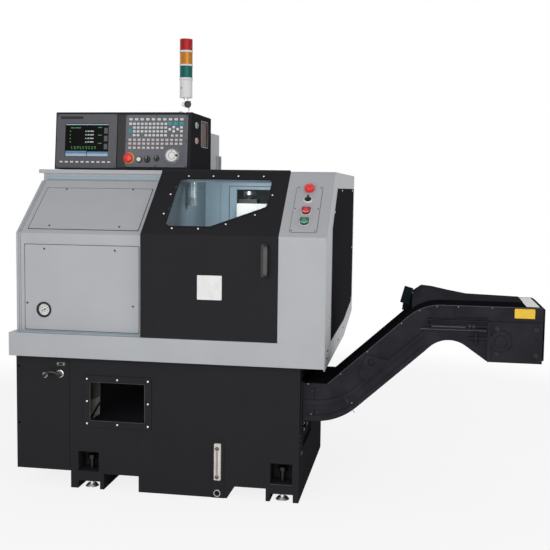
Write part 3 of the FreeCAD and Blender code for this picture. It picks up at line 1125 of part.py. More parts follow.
def z_motor():
    """The two screw bearings on the bed, and the servo motor behind the right one."""
    half = Z_BEARING_SIZE / 2
    shaft_hole = rod(V(Z_SCREW_LEFT - Z_BEARING_LENGTH, Z_SCREW_Y, Z_SCREW_Z), X_AXIS,
                     Z_SCREW_RADIUS + RUNNING_FIT, BED_RIGHT - Z_SCREW_LEFT + Z_BEARING_LENGTH)
    left = box(Z_SCREW_LEFT - Z_BEARING_LENGTH / 2, Z_SCREW_LEFT + Z_BEARING_LENGTH / 2, Z_SCREW_Y - half,
               Z_SCREW_Y + half, BED_TOP, Z_SCREW_Z + half)
    right = box(Z_RAIL_RIGHT + 1, BED_RIGHT, Z_SCREW_Y - half, Z_SCREW_Y + half, BED_TOP, Z_SCREW_Z + half)
    motor = box(BED_RIGHT, BED_RIGHT + Z_MOTOR_LENGTH, Z_SCREW_Y - Z_MOTOR_SIZE / 2, Z_SCREW_Y + Z_MOTOR_SIZE / 2,
                Z_SCREW_Z - Z_MOTOR_SIZE / 2, Z_SCREW_Z + Z_MOTOR_SIZE / 2)
    edges = [e for e in motor.Edges if abs(e.tangentAt(e.FirstParameter).x) > 0.99]
    return Part.makeCompound([left.cut(shaft_hole), joined([right.cut(shaft_hole), motor.makeFillet(8, edges)])])


def z_ball_screw():
    """The screw: its shaft and a collar at each bearing."""
    shaft = rod(V(Z_SCREW_LEFT - Z_BEARING_LENGTH / 2 + 1, Z_SCREW_Y, Z_SCREW_Z), X_AXIS, Z_SCREW_RADIUS,
                Z_SCREW_RIGHT - Z_SCREW_LEFT + Z_BEARING_LENGTH / 2 + 10)
    collars = [rod(V(x, Z_SCREW_Y, Z_SCREW_Z), X_AXIS, Z_SCREW_RADIUS + 4, 6)
               for x in (Z_SCREW_LEFT + Z_BEARING_LENGTH / 2 + SEAM, Z_RAIL_RIGHT - 6)]
    return joined([shaft] + collars)


def carriage(x0, x1, y0, y1, z0, z1, rail, along_x):
    """A block that straddles a rail with a small gap all round it."""
    gap = 2 * SEAM
    block = box(x0, x1, y0, y1, z0, z1)
    centre, half, top = rail
    if along_x:
        return block.cut(box(x0, x1, centre - half - gap, centre + half + gap, z0, top + gap))
    return block.cut(box(centre - half - gap, centre + half + gap, y0, y1, z0, top + gap))


def z_saddle():
    """The saddle on its four carriages, with the nut, the cross rails, and the cross motor."""
    plate_bottom = BED_TOP + Z_RAIL_HEIGHT + 2
    plate = box(SADDLE_LEFT, SADDLE_RIGHT, RAIL_FRONT_Y - Z_RAIL_WIDTH - SADDLE_MARGIN / 2,
                SLIDE_BACK + SLIDE_TRAVEL_BACK,
                plate_bottom, SADDLE_TOP)
    channel = rod(V(SADDLE_LEFT, Z_SCREW_Y, Z_SCREW_Z), X_AXIS, Z_SCREW_RADIUS + 8, SADDLE_RIGHT - SADDLE_LEFT)
    slot = box(SADDLE_LEFT, SADDLE_RIGHT, Z_SCREW_Y - Z_SCREW_RADIUS - 8, Z_SCREW_Y + Z_SCREW_RADIUS + 8,
               plate_bottom, Z_SCREW_Z)
    nut = tube(V(SADDLE_LEFT + BELT_FLANGE, Z_SCREW_Y, Z_SCREW_Z), X_AXIS, Z_SCREW_RADIUS + 8,
               Z_SCREW_RADIUS + RUNNING_FIT, BELT_FLANGE)
    parts = [plate.cut(Part.makeCompound([channel, slot])), nut]
    for y in (RAIL_FRONT_Y, RAIL_BACK_Y):
        for x in (SADDLE_LEFT, SADDLE_RIGHT - 2 * SADDLE_MARGIN):
            parts.append(carriage(x, x + 2 * SADDLE_MARGIN, y - Z_RAIL_WIDTH, y + Z_RAIL_WIDTH, BED_TOP + 6,
                                  plate_bottom, (y, Z_RAIL_WIDTH / 2, BED_TOP + Z_RAIL_HEIGHT), True))
    for offset in (-X_RAIL_OFFSET, X_RAIL_OFFSET):
        x = X_SCREW_X + offset
        parts.append(box(x - X_RAIL_WIDTH / 2, x + X_RAIL_WIDTH / 2,
                         SLIDE_FRONT - SLIDE_TRAVEL_FRONT - SADDLE_MARGIN / 2, SLIDE_BACK + SLIDE_TRAVEL_BACK,
                         SADDLE_TOP, SADDLE_TOP + X_RAIL_HEIGHT))
    screw_z = SADDLE_TOP + X_SCREW_RADIUS + 4
    bearing = box(X_SCREW_X - 24, X_SCREW_X + 24, RAIL_FRONT_Y - 20, RAIL_FRONT_Y, SADDLE_TOP, SADDLE_TOP + 40)
    motor = box(X_SCREW_X - 36, X_SCREW_X + 36, RAIL_FRONT_Y - 40 - SADDLE_MARGIN, RAIL_FRONT_Y - 20,
                SADDLE_TOP, SADDLE_TOP + 72)
    bore = rod(V(X_SCREW_X, RAIL_FRONT_Y - 20, screw_z), Y_AXIS, X_SCREW_RADIUS + RUNNING_FIT, 20)
    return joined(parts + [bearing, motor]).cut(bore)


def x_ball_screw():
    start = RAIL_FRONT_Y - 19
    shaft = rod(V(X_SCREW_X, start, SADDLE_TOP + X_SCREW_RADIUS + 4), Y_AXIS, X_SCREW_RADIUS,
                RAIL_BACK_Y + 30 - start)
    collar = rod(V(X_SCREW_X, RAIL_FRONT_Y + SEAM, SADDLE_TOP + X_SCREW_RADIUS + 4), Y_AXIS, X_SCREW_RADIUS + 3, 5)
    return joined([shaft, collar])


def x_slide():
    """The cross slide with its tool plate, and the covered head with the capped block on top."""
    rail_top = SADDLE_TOP + X_RAIL_HEIGHT
    base = box(X_SCREW_X - 125, X_SCREW_X + 125, SLIDE_FRONT, SLIDE_BACK, rail_top + 2, SLIDE_BASE_TOP)
    parts = [base]
    for offset in (-X_RAIL_OFFSET, X_RAIL_OFFSET):
        x = X_SCREW_X + offset
        for y in (SLIDE_FRONT, SLIDE_BACK - 50):
            parts.append(carriage(x - 26, x + 26, y, y + 50, SADDLE_TOP + 5, rail_top + 2,
                                  (x, X_RAIL_WIDTH / 2, rail_top), False))
    screw_z = SADDLE_TOP + X_SCREW_RADIUS + 4
    nut = box(X_SCREW_X - 20, X_SCREW_X + 20, SLIDE_FRONT + 40, SLIDE_FRONT + 90, SADDLE_TOP + 1, rail_top + 2)
    hollow = rod(V(X_SCREW_X, SLIDE_FRONT, screw_z), Y_AXIS, X_SCREW_RADIUS + 3, SLIDE_BACK - SLIDE_FRONT)
    bored_nut = nut.cut(rod(V(X_SCREW_X, SLIDE_FRONT, screw_z), Y_AXIS, X_SCREW_RADIUS + RUNNING_FIT, 120))
    head = box(HEAD_LEFT, HEAD_RIGHT, HEAD_FRONT, HEAD_BACK, SLIDE_BASE_TOP, HEAD_TOP)
    head = head.makeFillet(10, [e for e in head.Edges if abs(e.tangentAt(e.FirstParameter).z) > 0.99])
    centre_y = (HEAD_FRONT + HEAD_BACK) / 2
    cap_x = (HEAD_LEFT + HEAD_RIGHT) / 2 - CAP_RADIUS * 0.8
    block = box(cap_x - CAP_RADIUS * 1.5, cap_x + CAP_RADIUS * 1.5, centre_y - CAP_RADIUS * 1.5,
                centre_y + CAP_RADIUS * 1.5, HEAD_TOP, HEAD_TOP + CAP_BLOCK_HEIGHT)
    cap = Part.makeCone(CAP_RADIUS * 0.62, CAP_RADIUS, CAP_HEIGHT * 0.55, V(cap_x, centre_y, HEAD_TOP + CAP_BLOCK_HEIGHT))
    rim = rod(V(cap_x, centre_y, HEAD_TOP + CAP_BLOCK_HEIGHT + CAP_HEIGHT * 0.55), Z_AXIS, CAP_RADIUS,
              CAP_HEIGHT * 0.45)
    plate = box(HEAD_LEFT - TOOL_PLATE_THICKNESS, HEAD_LEFT, HEAD_FRONT, HEAD_BACK, SLIDE_BASE_TOP + 10,
                SPINDLE_Z + 45)
    parts += [head, block, cap, rim, plate]
    for i in range(TOOL_COUNT):
        y = centre_y + (i - (TOOL_COUNT - 1) / 2) * TOOL_PITCH
        x1 = HEAD_LEFT - TOOL_PLATE_THICKNESS
        parts.append(box(x1 - 14, x1, y - TOOL_SHANK, y + TOOL_SHANK, SPINDLE_Z - TOOL_SHANK * 1.5,
                         SPINDLE_Z + TOOL_SHANK * 1.5))
        parts.append(box(x1 - TOOL_LENGTH, x1 - 14, y - TOOL_SHANK / 2, y + TOOL_SHANK / 2,
                         SPINDLE_Z - TOOL_SHANK, SPINDLE_Z))
    return joined([joined(parts).cut(hollow), bored_nut])


def bend(centre_x, centre_z, radius, first, last, below):
    """Start, middle and end of a bend; angles are from the vertical, and below picks the lower half."""
    sign = -1 if below else 1
    angles = (first, (first + last) / 2, last)
    return [V(centre_x + radius * math.sin(math.radians(a)), 0,
              centre_z + sign * radius * math.cos(math.radians(a))) for a in angles]


def conveyor_wire():
    """The casing's outline in (x, z): along the floor, up the incline and round into the level head."""
    tilt = CONVEYOR_ANGLE
    rise = math.tan(math.radians(tilt))
    low = bend(LOW_BEND_X, CONVEYOR_BOTTOM + LOW_BEND_RADIUS, LOW_BEND_RADIUS, 0, tilt, True)
    start_z = low[2].z + (HEAD_BEND_X - low[2].x) * rise
    head_x = HEAD_BEND_X + HEAD_BEND_RADIUS * math.sin(math.radians(tilt))
    head_z = start_z - HEAD_BEND_RADIUS * math.cos(math.radians(tilt))
    head = bend(head_x, head_z, HEAD_BEND_RADIUS, -tilt, HEAD_FALL_ANGLE, False)
    fall_x = head[2].x + (head[2].z - HEAD_BOTTOM) / math.tan(math.radians(HEAD_FALL_ANGLE))
    top_start_z = CONVEYOR_HEAD_TOP - TOP_BEND_RADIUS * (1 - math.cos(math.radians(tilt)))
    top_start_x = CREASE_X + (top_start_z - CONVEYOR_LOW_TOP) / rise
    top_x = top_start_x + TOP_BEND_RADIUS * math.sin(math.radians(tilt))
    top = bend(top_x, CONVEYOR_HEAD_TOP - TOP_BEND_RADIUS, TOP_BEND_RADIUS, 0, -tilt, False)
    stations = [V(CONVEYOR_INNER_END, 0, CONVEYOR_BOTTOM), low, head, V(fall_x, 0, HEAD_BOTTOM),
                V(CONVEYOR_END, 0, HEAD_BOTTOM), V(CONVEYOR_END, 0, CONVEYOR_HEAD_TOP), top,
                V(CREASE_X, 0, CONVEYOR_LOW_TOP), V(CONVEYOR_INNER_END, 0, CONVEYOR_LOW_TOP)]
    edges = []
    last = stations[-1]
    for station in stations:
        arc_points = station if isinstance(station, list) else [station]
        if (arc_points[0] - last).Length > 1e-6:
            edges.append(Part.makeLine(last, arc_points[0]))
        if len(arc_points) == 3:
            edges.append(Part.Arc(*arc_points).toShape())
        last = arc_points[-1]
    return Part.Wire(Part.__sortEdges__(edges))


def conveyor_slab(inset, y0, y1):
    """The casing's outline drawn in by an inset, as a solid between two Y planes."""
    face = Part.Face(conveyor_wire())
    if inset:
        face = face.makeOffset2D(-inset)
    face.translate(V(0, y0, 0))
    return face.extrude(V(0, y1 - y0, 0))


def path_band(low, high, y0, y1):
    """A strip that follows the casing's underside between two heights above it."""
    upper = conveyor_slab(0, y0, y1)
    lower = conveyor_slab(0, y0, y1)
    upper.translate(V(0, 0, low))
    lower.translate(V(0, 0, high))
    return upper.cut(lower).common(conveyor_slab(0, y0, y1))


def casing_ring():
    y0 = CONVEYOR_NEAR + CONVEYOR_SHEET
    y1 = CONVEYOR_FAR - CONVEYOR_SHEET
    return conveyor_slab(0, y0, y1).cut(conveyor_slab(CONVEYOR_SHEET, y0, y1))


def cover_space():
    """Everything over the casing's top sheet, from the flange plate to the head."""
    lowered = conveyor_slab(0, 0, CONVEYOR_FAR + CONVEYOR_NEAR)
    lowered.translate(V(0, 0, -3 * CONVEYOR_SHEET))
    space = box(LOW_FLANGE_HEIGHT / 2, CONVEYOR_END, 0, CONVEYOR_FAR + CONVEYOR_NEAR, CONVEYOR_BOTTOM,
                CONVEYOR_HEAD_TOP)
    return space.cut(lowered)


def conveyor_cover():
    y0 = CONVEYOR_NEAR + CONVEYOR_SHEET
    y1 = CONVEYOR_FAR - CONVEYOR_SHEET
    sheet = casing_ring().common(cover_space())
    flap = box(CONVEYOR_END, CONVEYOR_END + END_PLATE_THICKNESS, y0, y1, HEAD_BOTTOM + 13, CONVEYOR_HEAD_TOP - 5)
    return joined([sheet, flap])


def lifting_lug():
    points = [V(x, CONVEYOR_NEAR - LUG_THICKNESS, z) for x, z in LUG_OUTLINE]
    plate = face_of(points).extrude(V(0, LUG_THICKNESS, 0))
    plate = plate.makeFillet(6, [e for e in plate.Edges if abs(e.tangentAt(e.FirstParameter).y) > 0.99])
    return plate.cut(rod(V(LUG_HOLE[0], CONVEYOR_NEAR - LUG_THICKNESS, LUG_HOLE[1]), Y_AXIS,
                         LUG_HOLE_RADIUS, LUG_THICKNESS))


def conveyor_trough():
    """Side plates, bottom sheet and flange plate, with ribs that follow the path along the near side."""
    sides = [conveyor_slab(0, CONVEYOR_NEAR, CONVEYOR_NEAR + CONVEYOR_SHEET),
             conveyor_slab(0, CONVEYOR_FAR - CONVEYOR_SHEET, CONVEYOR_FAR)]
    bottom = casing_ring().cut(cover_space())
    open_top = box(CONVEYOR_INNER_END + CONVEYOR_SHEET, 0, CONVEYOR_NEAR + CONVEYOR_SHEET,
                   CONVEYOR_FAR - CONVEYOR_SHEET, CONVEYOR_LOW_TOP - CONVEYOR_SHEET, CONVEYOR_LOW_TOP)
    x0, x1, y0, y1 = OUTLET
    outlet = box(x0, x1, y0, y1, HEAD_BOTTOM, HEAD_BOTTOM + CONVEYOR_SHEET)
    shaft_hole = rod(V(SHAFT_X, CONVEYOR_NEAR, SHAFT_Z), Y_AXIS, SHAFT_RADIUS + RUNNING_FIT,
                     CONVEYOR_FAR - CONVEYOR_NEAR)
    rib_space = box(LOW_FLANGE_HEIGHT / 2, CHANNEL[0], 0, CONVEYOR_NEAR, CONVEYOR_BOTTOM, CONVEYOR_HEAD_TOP)
    ridge = [height - CONVEYOR_BOTTOM for height in LOW_RIDGE]
    ribs = [path_band(0, LOW_FLANGE_HEIGHT, CONVEYOR_NEAR - RIB_THICKNESS, CONVEYOR_NEAR).common(rib_space),
            path_band(*ridge, CONVEYOR_NEAR - RIB_THICKNESS, CONVEYOR_NEAR).common(rib_space)]
    plate = box(SEAM, LOW_FLANGE_HEIGHT / 3, CONVEYOR_NEAR - 10, CONVEYOR_FAR + 10, CONVEYOR_BOTTOM - 60,
                CONVEYOR_LOW_TOP + 8)
    plate = plate.cut(conveyor_slab(0, CONVEYOR_NEAR, CONVEYOR_FAR))
    body = joined(sides + [bottom, plate] + ribs).cut(Part.makeCompound([open_top, outlet, shaft_hole]))
    return joined([body, lifting_lug()])


def take_up():
    """The drive side: bearing plate with its half-round boss, and the channel with the tension rod."""
    near = CONVEYOR_NEAR
    x0, x1, z0, z1 = DRIVE_PLATE
    plate = box(x0, x1, near - DRIVE_PLATE_THICKNESS, near, z0, z1)
    rail = box(x0 - 4, x0 + 11, near - 2 * DRIVE_PLATE_THICKNESS, near - DRIVE_PLATE_THICKNESS, z0, z1)
    boss = rod(V(SHAFT_X, near - DRIVE_PLATE_THICKNESS, SHAFT_Z), -Y_AXIS, BOSS_RADIUS, DRIVE_PLATE_THICKNESS)
    hub = rod(V(SHAFT_X, near - 2 * DRIVE_PLATE_THICKNESS, SHAFT_Z), -Y_AXIS, HUB_RADIUS, DRIVE_PLATE_THICKNESS)
    bore = rod(V(SHAFT_X, near - 2 * DRIVE_PLATE_THICKNESS, SHAFT_Z), Y_AXIS, SHAFT_RADIUS + RUNNING_FIT,
               2 * DRIVE_PLATE_THICKNESS)
    c0, c1, low, high = CHANNEL
    channel = box(c0, c1, near - CHANNEL_DEPTH, near, low, high)
    hollow = box(c0, c1, near - CHANNEL_DEPTH, near - CONVEYOR_SHEET, low + CONVEYOR_SHEET, high - CONVEYOR_SHEET)
    web = box(c0, c0 + CONVEYOR_SHEET, near - CHANNEL_DEPTH, near, low, high)
    rod_y = near - CHANNEL_DEPTH / 2
    tension_rod = rod(V(c0, rod_y, TENSION_ROD_Z), X_AXIS, 5, c1 - c0)
    nuts = [rod(V(c1 - 60 - 16 * i, rod_y, TENSION_ROD_Z), X_AXIS, 9, 9) for i in range(2)]
    b0, b1, bolt_z = TENSION_BOLT
    bolt = rod(V(b0, rod_y, bolt_z), X_AXIS, 5, x0 - b0)
    stay = box(b0 + 30, b0 + 38, near - CHANNEL_DEPTH, near, bolt_z - 24, bolt_z + 27)
    left, right, low_bolt, high_bolt = DRIVE_BOLT_INSETS
    bolts = [rod(V(x, near - DRIVE_PLATE_THICKNESS, z), -Y_AXIS, 7, 5)
             for x in (x0 + left, x1 - right) for z in (z0 + low_bolt, z1 - high_bolt)]
    return joined([plate, rail, boss, hub, channel.cut(hollow), web, tension_rod, bolt, stay] + nuts
                  + bolts).cut(bore)


def conveyor_shaft():
    """The drive shaft with two sprockets."""
    start = CONVEYOR_NEAR - 2 * DRIVE_PLATE_THICKNESS + 1
    parts = [rod(V(SHAFT_X, start, SHAFT_Z), Y_AXIS, SHAFT_RADIUS, CONVEYOR_FAR - CONVEYOR_SHEET / 2 - start)]
    for y in (CONVEYOR_NEAR + 60, CONVEYOR_FAR - 60 - SPROCKET_WIDTH):
        disc = rod(V(SHAFT_X, y, SHAFT_Z), Y_AXIS, SPROCKET_RADIUS, SPROCKET_WIDTH)
        gaps = []
        for i in range(SPROCKET_TEETH):
            angle = 2 * math.pi * i / SPROCKET_TEETH
            centre = V(SHAFT_X + SPROCKET_RADIUS * math.cos(angle), y, SHAFT_Z + SPROCKET_RADIUS * math.sin(angle))
            gaps.append(rod(centre, Y_AXIS, SPROCKET_RADIUS / 6, SPROCKET_WIDTH))
        parts.append(disc.cut(Part.makeCompound(gaps)))
    return joined(parts)


def chip_belt():
    """The endless belt: its lower run lies on the bottom sheet, its upper run leaves the chips' way free."""
    y0 = CONVEYOR_NEAR + 20
    y1 = CONVEYOR_FAR - 20
    space = conveyor_slab(CONVEYOR_SHEET + SEAM, y0, y1)
    lowered = space.copy()
    lowered.translate(V(0, 0, -CHIP_WAY_HEIGHT))
    outer = space.common(lowered)
    section = [face for face in outer.Faces if abs(face.CenterOfMass.y - y0) < 1e-3][0]
    inner = section.makeOffset2D(-CHIP_BELT_THICKNESS).extrude(V(0, y1 - y0, 0))
    return outer.cut(inner)


def hood_wire(y, rise):
    """The hood's section at a Y plane: rise 0 lies on the cover, rise 1 is the full hump."""
    base = CONVEYOR_HEAD_TOP + 1
    top = [V(x, y, min(z, base) + max(z - base, 0) * rise) for x, z in HOOD_LINE]
    low = [V(HOOD_LINE[-1][0], y, base - 24), V(HOOD_LINE[0][0], y, HOOD_FOOT_Z)]
    points = top + low
    return Part.makePolygon(points + [points[0]])


def motor_hood():
    """The gear motor's hood over the far half of the casing, and the terminal box beside it."""
    slope = Part.makeLoft([hood_wire(HOOD_FRONT, 0.02), hood_wire(HOOD_FULL, 1.0)], True, True)
    full = Part.makeLoft([hood_wire(HOOD_FULL, 1.0), hood_wire(CONVEYOR_FAR, 1.0)], True, True)
    casing = conveyor_slab(-SEAM, 0, CONVEYOR_FAR + CONVEYOR_NEAR)
    hood = joined([slope, full]).cut(casing)
    length, width, height = TERMINAL_BOX_SIZE
    x, y, z = TERMINAL_BOX_PLACE
    terminal = box(x - length / 2, x + length / 2, CONVEYOR_FAR - width, CONVEYOR_FAR, z - height / 2, z + height / 2)
    terminal.rotate(V(x, y, z), Y_AXIS, TERMINAL_BOX_TILT)
    terminal = terminal.cut(casing).cut(hood)
    return Part.makeCompound(hood.Solids + terminal.Solids)


PARTS = {
    "base_frame": base_frame, "side_box": side_box, "levelling_screws": levelling_screws,
    "coolant_tank": coolant_tank, "level_gauge": level_gauge, "inspection_frame": inspection_frame,
    "inspection_pane": inspection_pane, "air_fittings": air_fittings, "splash_tray": splash_tray,
    "left_cover": left_cover, "left_wall": left_wall, "cover_panels": cover_panels,
    "pressure_gauge": pressure_gauge, "roof": roof, "right_column": right_column,
    "right_side_wall": right_side_wall, "side_panel": side_panel, "rear_wall": rear_wall,
    "chamber_back_wall": chamber_back_wall, "chamber_left_wall": chamber_left_wall,
    "bed_casting": bed_casting, "headstock": headstock, "z_rails": z_rails, "z_motor": z_motor,
    "work_lamp": work_lamp, "door_rails": door_rails, "control_cabinet": control_cabinet,
    "screen_module": screen_module, "key_panel": key_panel, "switch_plate": switch_plate,
    "tower_foot": tower_foot, "rear_cabinet": rear_cabinet, "conveyor_trough": conveyor_trough,
    "conveyor_cover": conveyor_cover, "motor_hood": motor_hood, "take_up": take_up,
    "chip_belt": chip_belt, "door_panel": door_panel, "door_pane": door_pane,
    "door_handle": door_handle, "column_stop": column_stop, "column_selector": column_selector,
    "control_stop": control_stop, "white_button": white_button, "control_knob": control_knob,
    "control_selector": control_selector, "handwheel": handwheel, "spindle": spindle,
    "z_saddle": z_saddle, "x_slide": x_slide, "z_ball_screw": z_ball_screw, "x_ball_screw": x_ball_screw,
    "tower_body": tower_body, "lock_knob": lock_knob, "conveyor_shaft": conveyor_shaft,
    "cabinet_door": cabinet_door,
}

os.makedirs("parts", exist_ok=True)
for part_name, build in PARTS.items():
    save(part_name, build())
save("red_button", column_button(RED_UP))
save("green_button", column_button(GREEN_UP))
save("side_green_button", side_button(SIDE_GREEN_Z))
save("side_red_button", side_button(SIDE_RED_Z))
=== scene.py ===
import math

import bmesh
import bpy
from mathutils import Matrix, Vector


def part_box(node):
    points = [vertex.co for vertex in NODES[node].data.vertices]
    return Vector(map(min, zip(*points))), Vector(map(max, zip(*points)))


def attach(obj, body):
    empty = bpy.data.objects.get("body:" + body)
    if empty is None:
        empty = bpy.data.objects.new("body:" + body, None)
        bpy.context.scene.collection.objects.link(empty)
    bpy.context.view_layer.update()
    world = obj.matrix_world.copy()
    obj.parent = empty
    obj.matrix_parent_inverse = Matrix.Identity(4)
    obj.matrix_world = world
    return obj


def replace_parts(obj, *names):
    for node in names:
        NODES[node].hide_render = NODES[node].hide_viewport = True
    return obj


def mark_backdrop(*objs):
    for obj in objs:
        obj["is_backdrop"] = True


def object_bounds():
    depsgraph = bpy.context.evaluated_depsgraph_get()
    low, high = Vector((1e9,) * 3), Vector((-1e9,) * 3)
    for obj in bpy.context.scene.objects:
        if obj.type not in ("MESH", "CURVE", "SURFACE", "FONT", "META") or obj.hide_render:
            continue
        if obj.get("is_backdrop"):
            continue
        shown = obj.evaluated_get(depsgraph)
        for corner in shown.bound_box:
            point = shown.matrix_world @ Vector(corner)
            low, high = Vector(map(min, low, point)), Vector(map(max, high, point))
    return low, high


bl_info = {
    "name": "Slant-front turning lathe",
    "version": (1, 0, 0),
    "blender": (4, 5, 0),
    "location": "3D View > Sidebar > Turning lathe",
    "description": "Finishes, fasteners and control details for a compact turning lathe with a chip conveyor",
    "category": "Object",
}

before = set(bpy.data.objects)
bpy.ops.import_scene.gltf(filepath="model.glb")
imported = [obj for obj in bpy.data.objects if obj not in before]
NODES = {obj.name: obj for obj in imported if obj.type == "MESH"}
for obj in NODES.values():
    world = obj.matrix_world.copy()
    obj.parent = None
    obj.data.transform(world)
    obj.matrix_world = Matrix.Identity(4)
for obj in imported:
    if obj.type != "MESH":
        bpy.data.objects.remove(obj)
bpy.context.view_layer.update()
MM = 0.001

# The machine's drawing starts at the base's front right corner on the floor.
BASE_LOW, BASE_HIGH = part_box("base_frame")
CORNER = Vector((BASE_HIGH.x, BASE_LOW.y, 0))


def place(x, y, z):
    """A point of the drawing, in millimetres, as metres in the frame."""
    return CORNER + Vector((x, y, z)) * MM


class Surface:
    """A flat surface that small parts are fixed to: a point on it, the way across it and the way up it."""

    def __init__(self, point, across, up):
        self.point = place(*point)
        self.across = Vector(across).normalized()
        self.up = Vector(up).normalized()
        self.out = self.across.cross(self.up)

    def at(self, x=0, y=0, lift=0, turn=0):
        """The matrix that sets a small shape drawn in millimetres on this surface."""
        point = self.point + (self.across * x + self.up * y + self.out * lift) * MM
        columns = Matrix((self.across, self.up, self.out)).transposed().to_4x4()
        return Matrix.Translation(point) @ columns @ Matrix.Rotation(turn, 4, "Z") @ Matrix.Scale(MM, 4)


RIGHTWARD = (1, 0, 0)
BACKWARD = (0, 1, 0)
UPWARD = (0, 0, 1)


def facing_front(x, y, z):
    """The upright surface through a point that faces the front."""
    return Surface((x, y, z), RIGHTWARD, UPWARD)


def facing_right(x, y=0, z=0):
    """The upright surface through a point that faces the machine's right."""
    return Surface((x, y, z), BACKWARD, UPWARD)


# The slant of the front, and the lean of the control face
FRONT_Y = -34
CREASE_Z = 1131
COVER_CREASE_Z = 1122.2
SLOPE_TOP = (291, 1405)
SLOPE_UP = Vector((0, SLOPE_TOP[0] - FRONT_Y, SLOPE_TOP[1] - CREASE_Z)).normalized()
FACE_UP = (0, 27, 268)

DOOR_FRONT = facing_front(0, FRONT_Y, 0)
SLOPE = Surface((0, FRONT_Y, CREASE_Z), RIGHTWARD, SLOPE_UP)
COVER_FRONT = facing_front(0, 4, 0)
COVER_SLOPE = Surface((0, 6, COVER_CREASE_Z), RIGHTWARD, SLOPE_UP)
BASE_FRONT = facing_front(0, 0, 0)
CONTROL_FACE = Surface((0, 400, 1409), RIGHTWARD, FACE_UP)
RIGHT_SIDE = facing_right(105)
BASE_SIDE = facing_right(0)
BOX_SIDE = facing_right(-587)
TROUGH_SIDE = facing_front(0, 30, 0)


def up_slope(z, crease=CREASE_Z):
    """How far up the front's slant a height is."""
    return (z - crease) / SLOPE_UP.z


# Outlines, in millimetres

def around(angle, reach=1):
    """The point at this bearing and reach from the middle."""
    return Vector((math.cos(angle), math.sin(angle))) * reach


def rounded(width, height, corner, steps=4):
    """A rectangle with round corners, about the middle."""
    points = []
    for turn, (right, up) in enumerate(((1, 1), (-1, 1), (-1, -1), (1, -1))):
        centre = Vector((right * (width / 2 - corner), up * (height / 2 - corner)))
        points += [centre + around(math.pi / 2 * (turn + step / steps), corner) for step in range(steps + 1)]
    return points


def softened(corners, radius, steps=4):
    """An outline with each of its corners cut round."""
    points = []
    for i, corner in enumerate(corners):
        corner = Vector(corner)
        before = (Vector(corners[i - 1]) - corner).normalized()
        after = (Vector(corners[(i + 1) % len(corners)]) - corner).normalized()
        half = before.angle(after) / 2
        reach = radius / math.tan(half)
        centre = corner + (before + after).normalized() * (radius / math.sin(half))
        start = corner + before * reach - centre
        end = corner + after * reach - centre
        points += [centre + start.lerp(end, step / steps).normalized() * radius for step in range(steps + 1)]
    return points


def shield(radius, corner=4):
    """An outline with a square top and a round bottom."""
    middle = radius - corner
    quarter = [math.radians(22.5 * i) for i in range(5)]
    return ([around(math.radians(180 + 15 * i), radius) for i in range(13)]
            + [Vector((radius, radius * 0.4))]
            + [Vector((middle, middle)) + around(turn, corner) for turn in quarter]
            + [Vector((radius * share, radius)) for share in (0.4, 0, -0.4)]
            + [Vector((-middle, middle)) + around(turn + math.pi / 2, corner) for turn in quarter]
            + [Vector((-radius, radius * 0.4))])


def round_in(outline, radius):
    """A circle with a point for each point of the outline, at the same bearing."""
    return [point.normalized() * radius for point in outline]


def inset(outline, distance):
    """The outline drawn in by a distance; a negative one draws it out."""
    moved = []
    for i, point in enumerate(outline):
        back = (point - outline[i - 1]).normalized()
        on = (outline[(i + 1) % len(outline)] - point).normalized()
        inward = Vector((-back.y - on.y, back.x + on.x))
        if inward.length < 1e-6:
            inward = Vector((-back.y, back.x)) * 2
        slant = max(0.35, inward.length / 2)
        moved.append(point + inward.normalized() * distance / slant)
    return moved


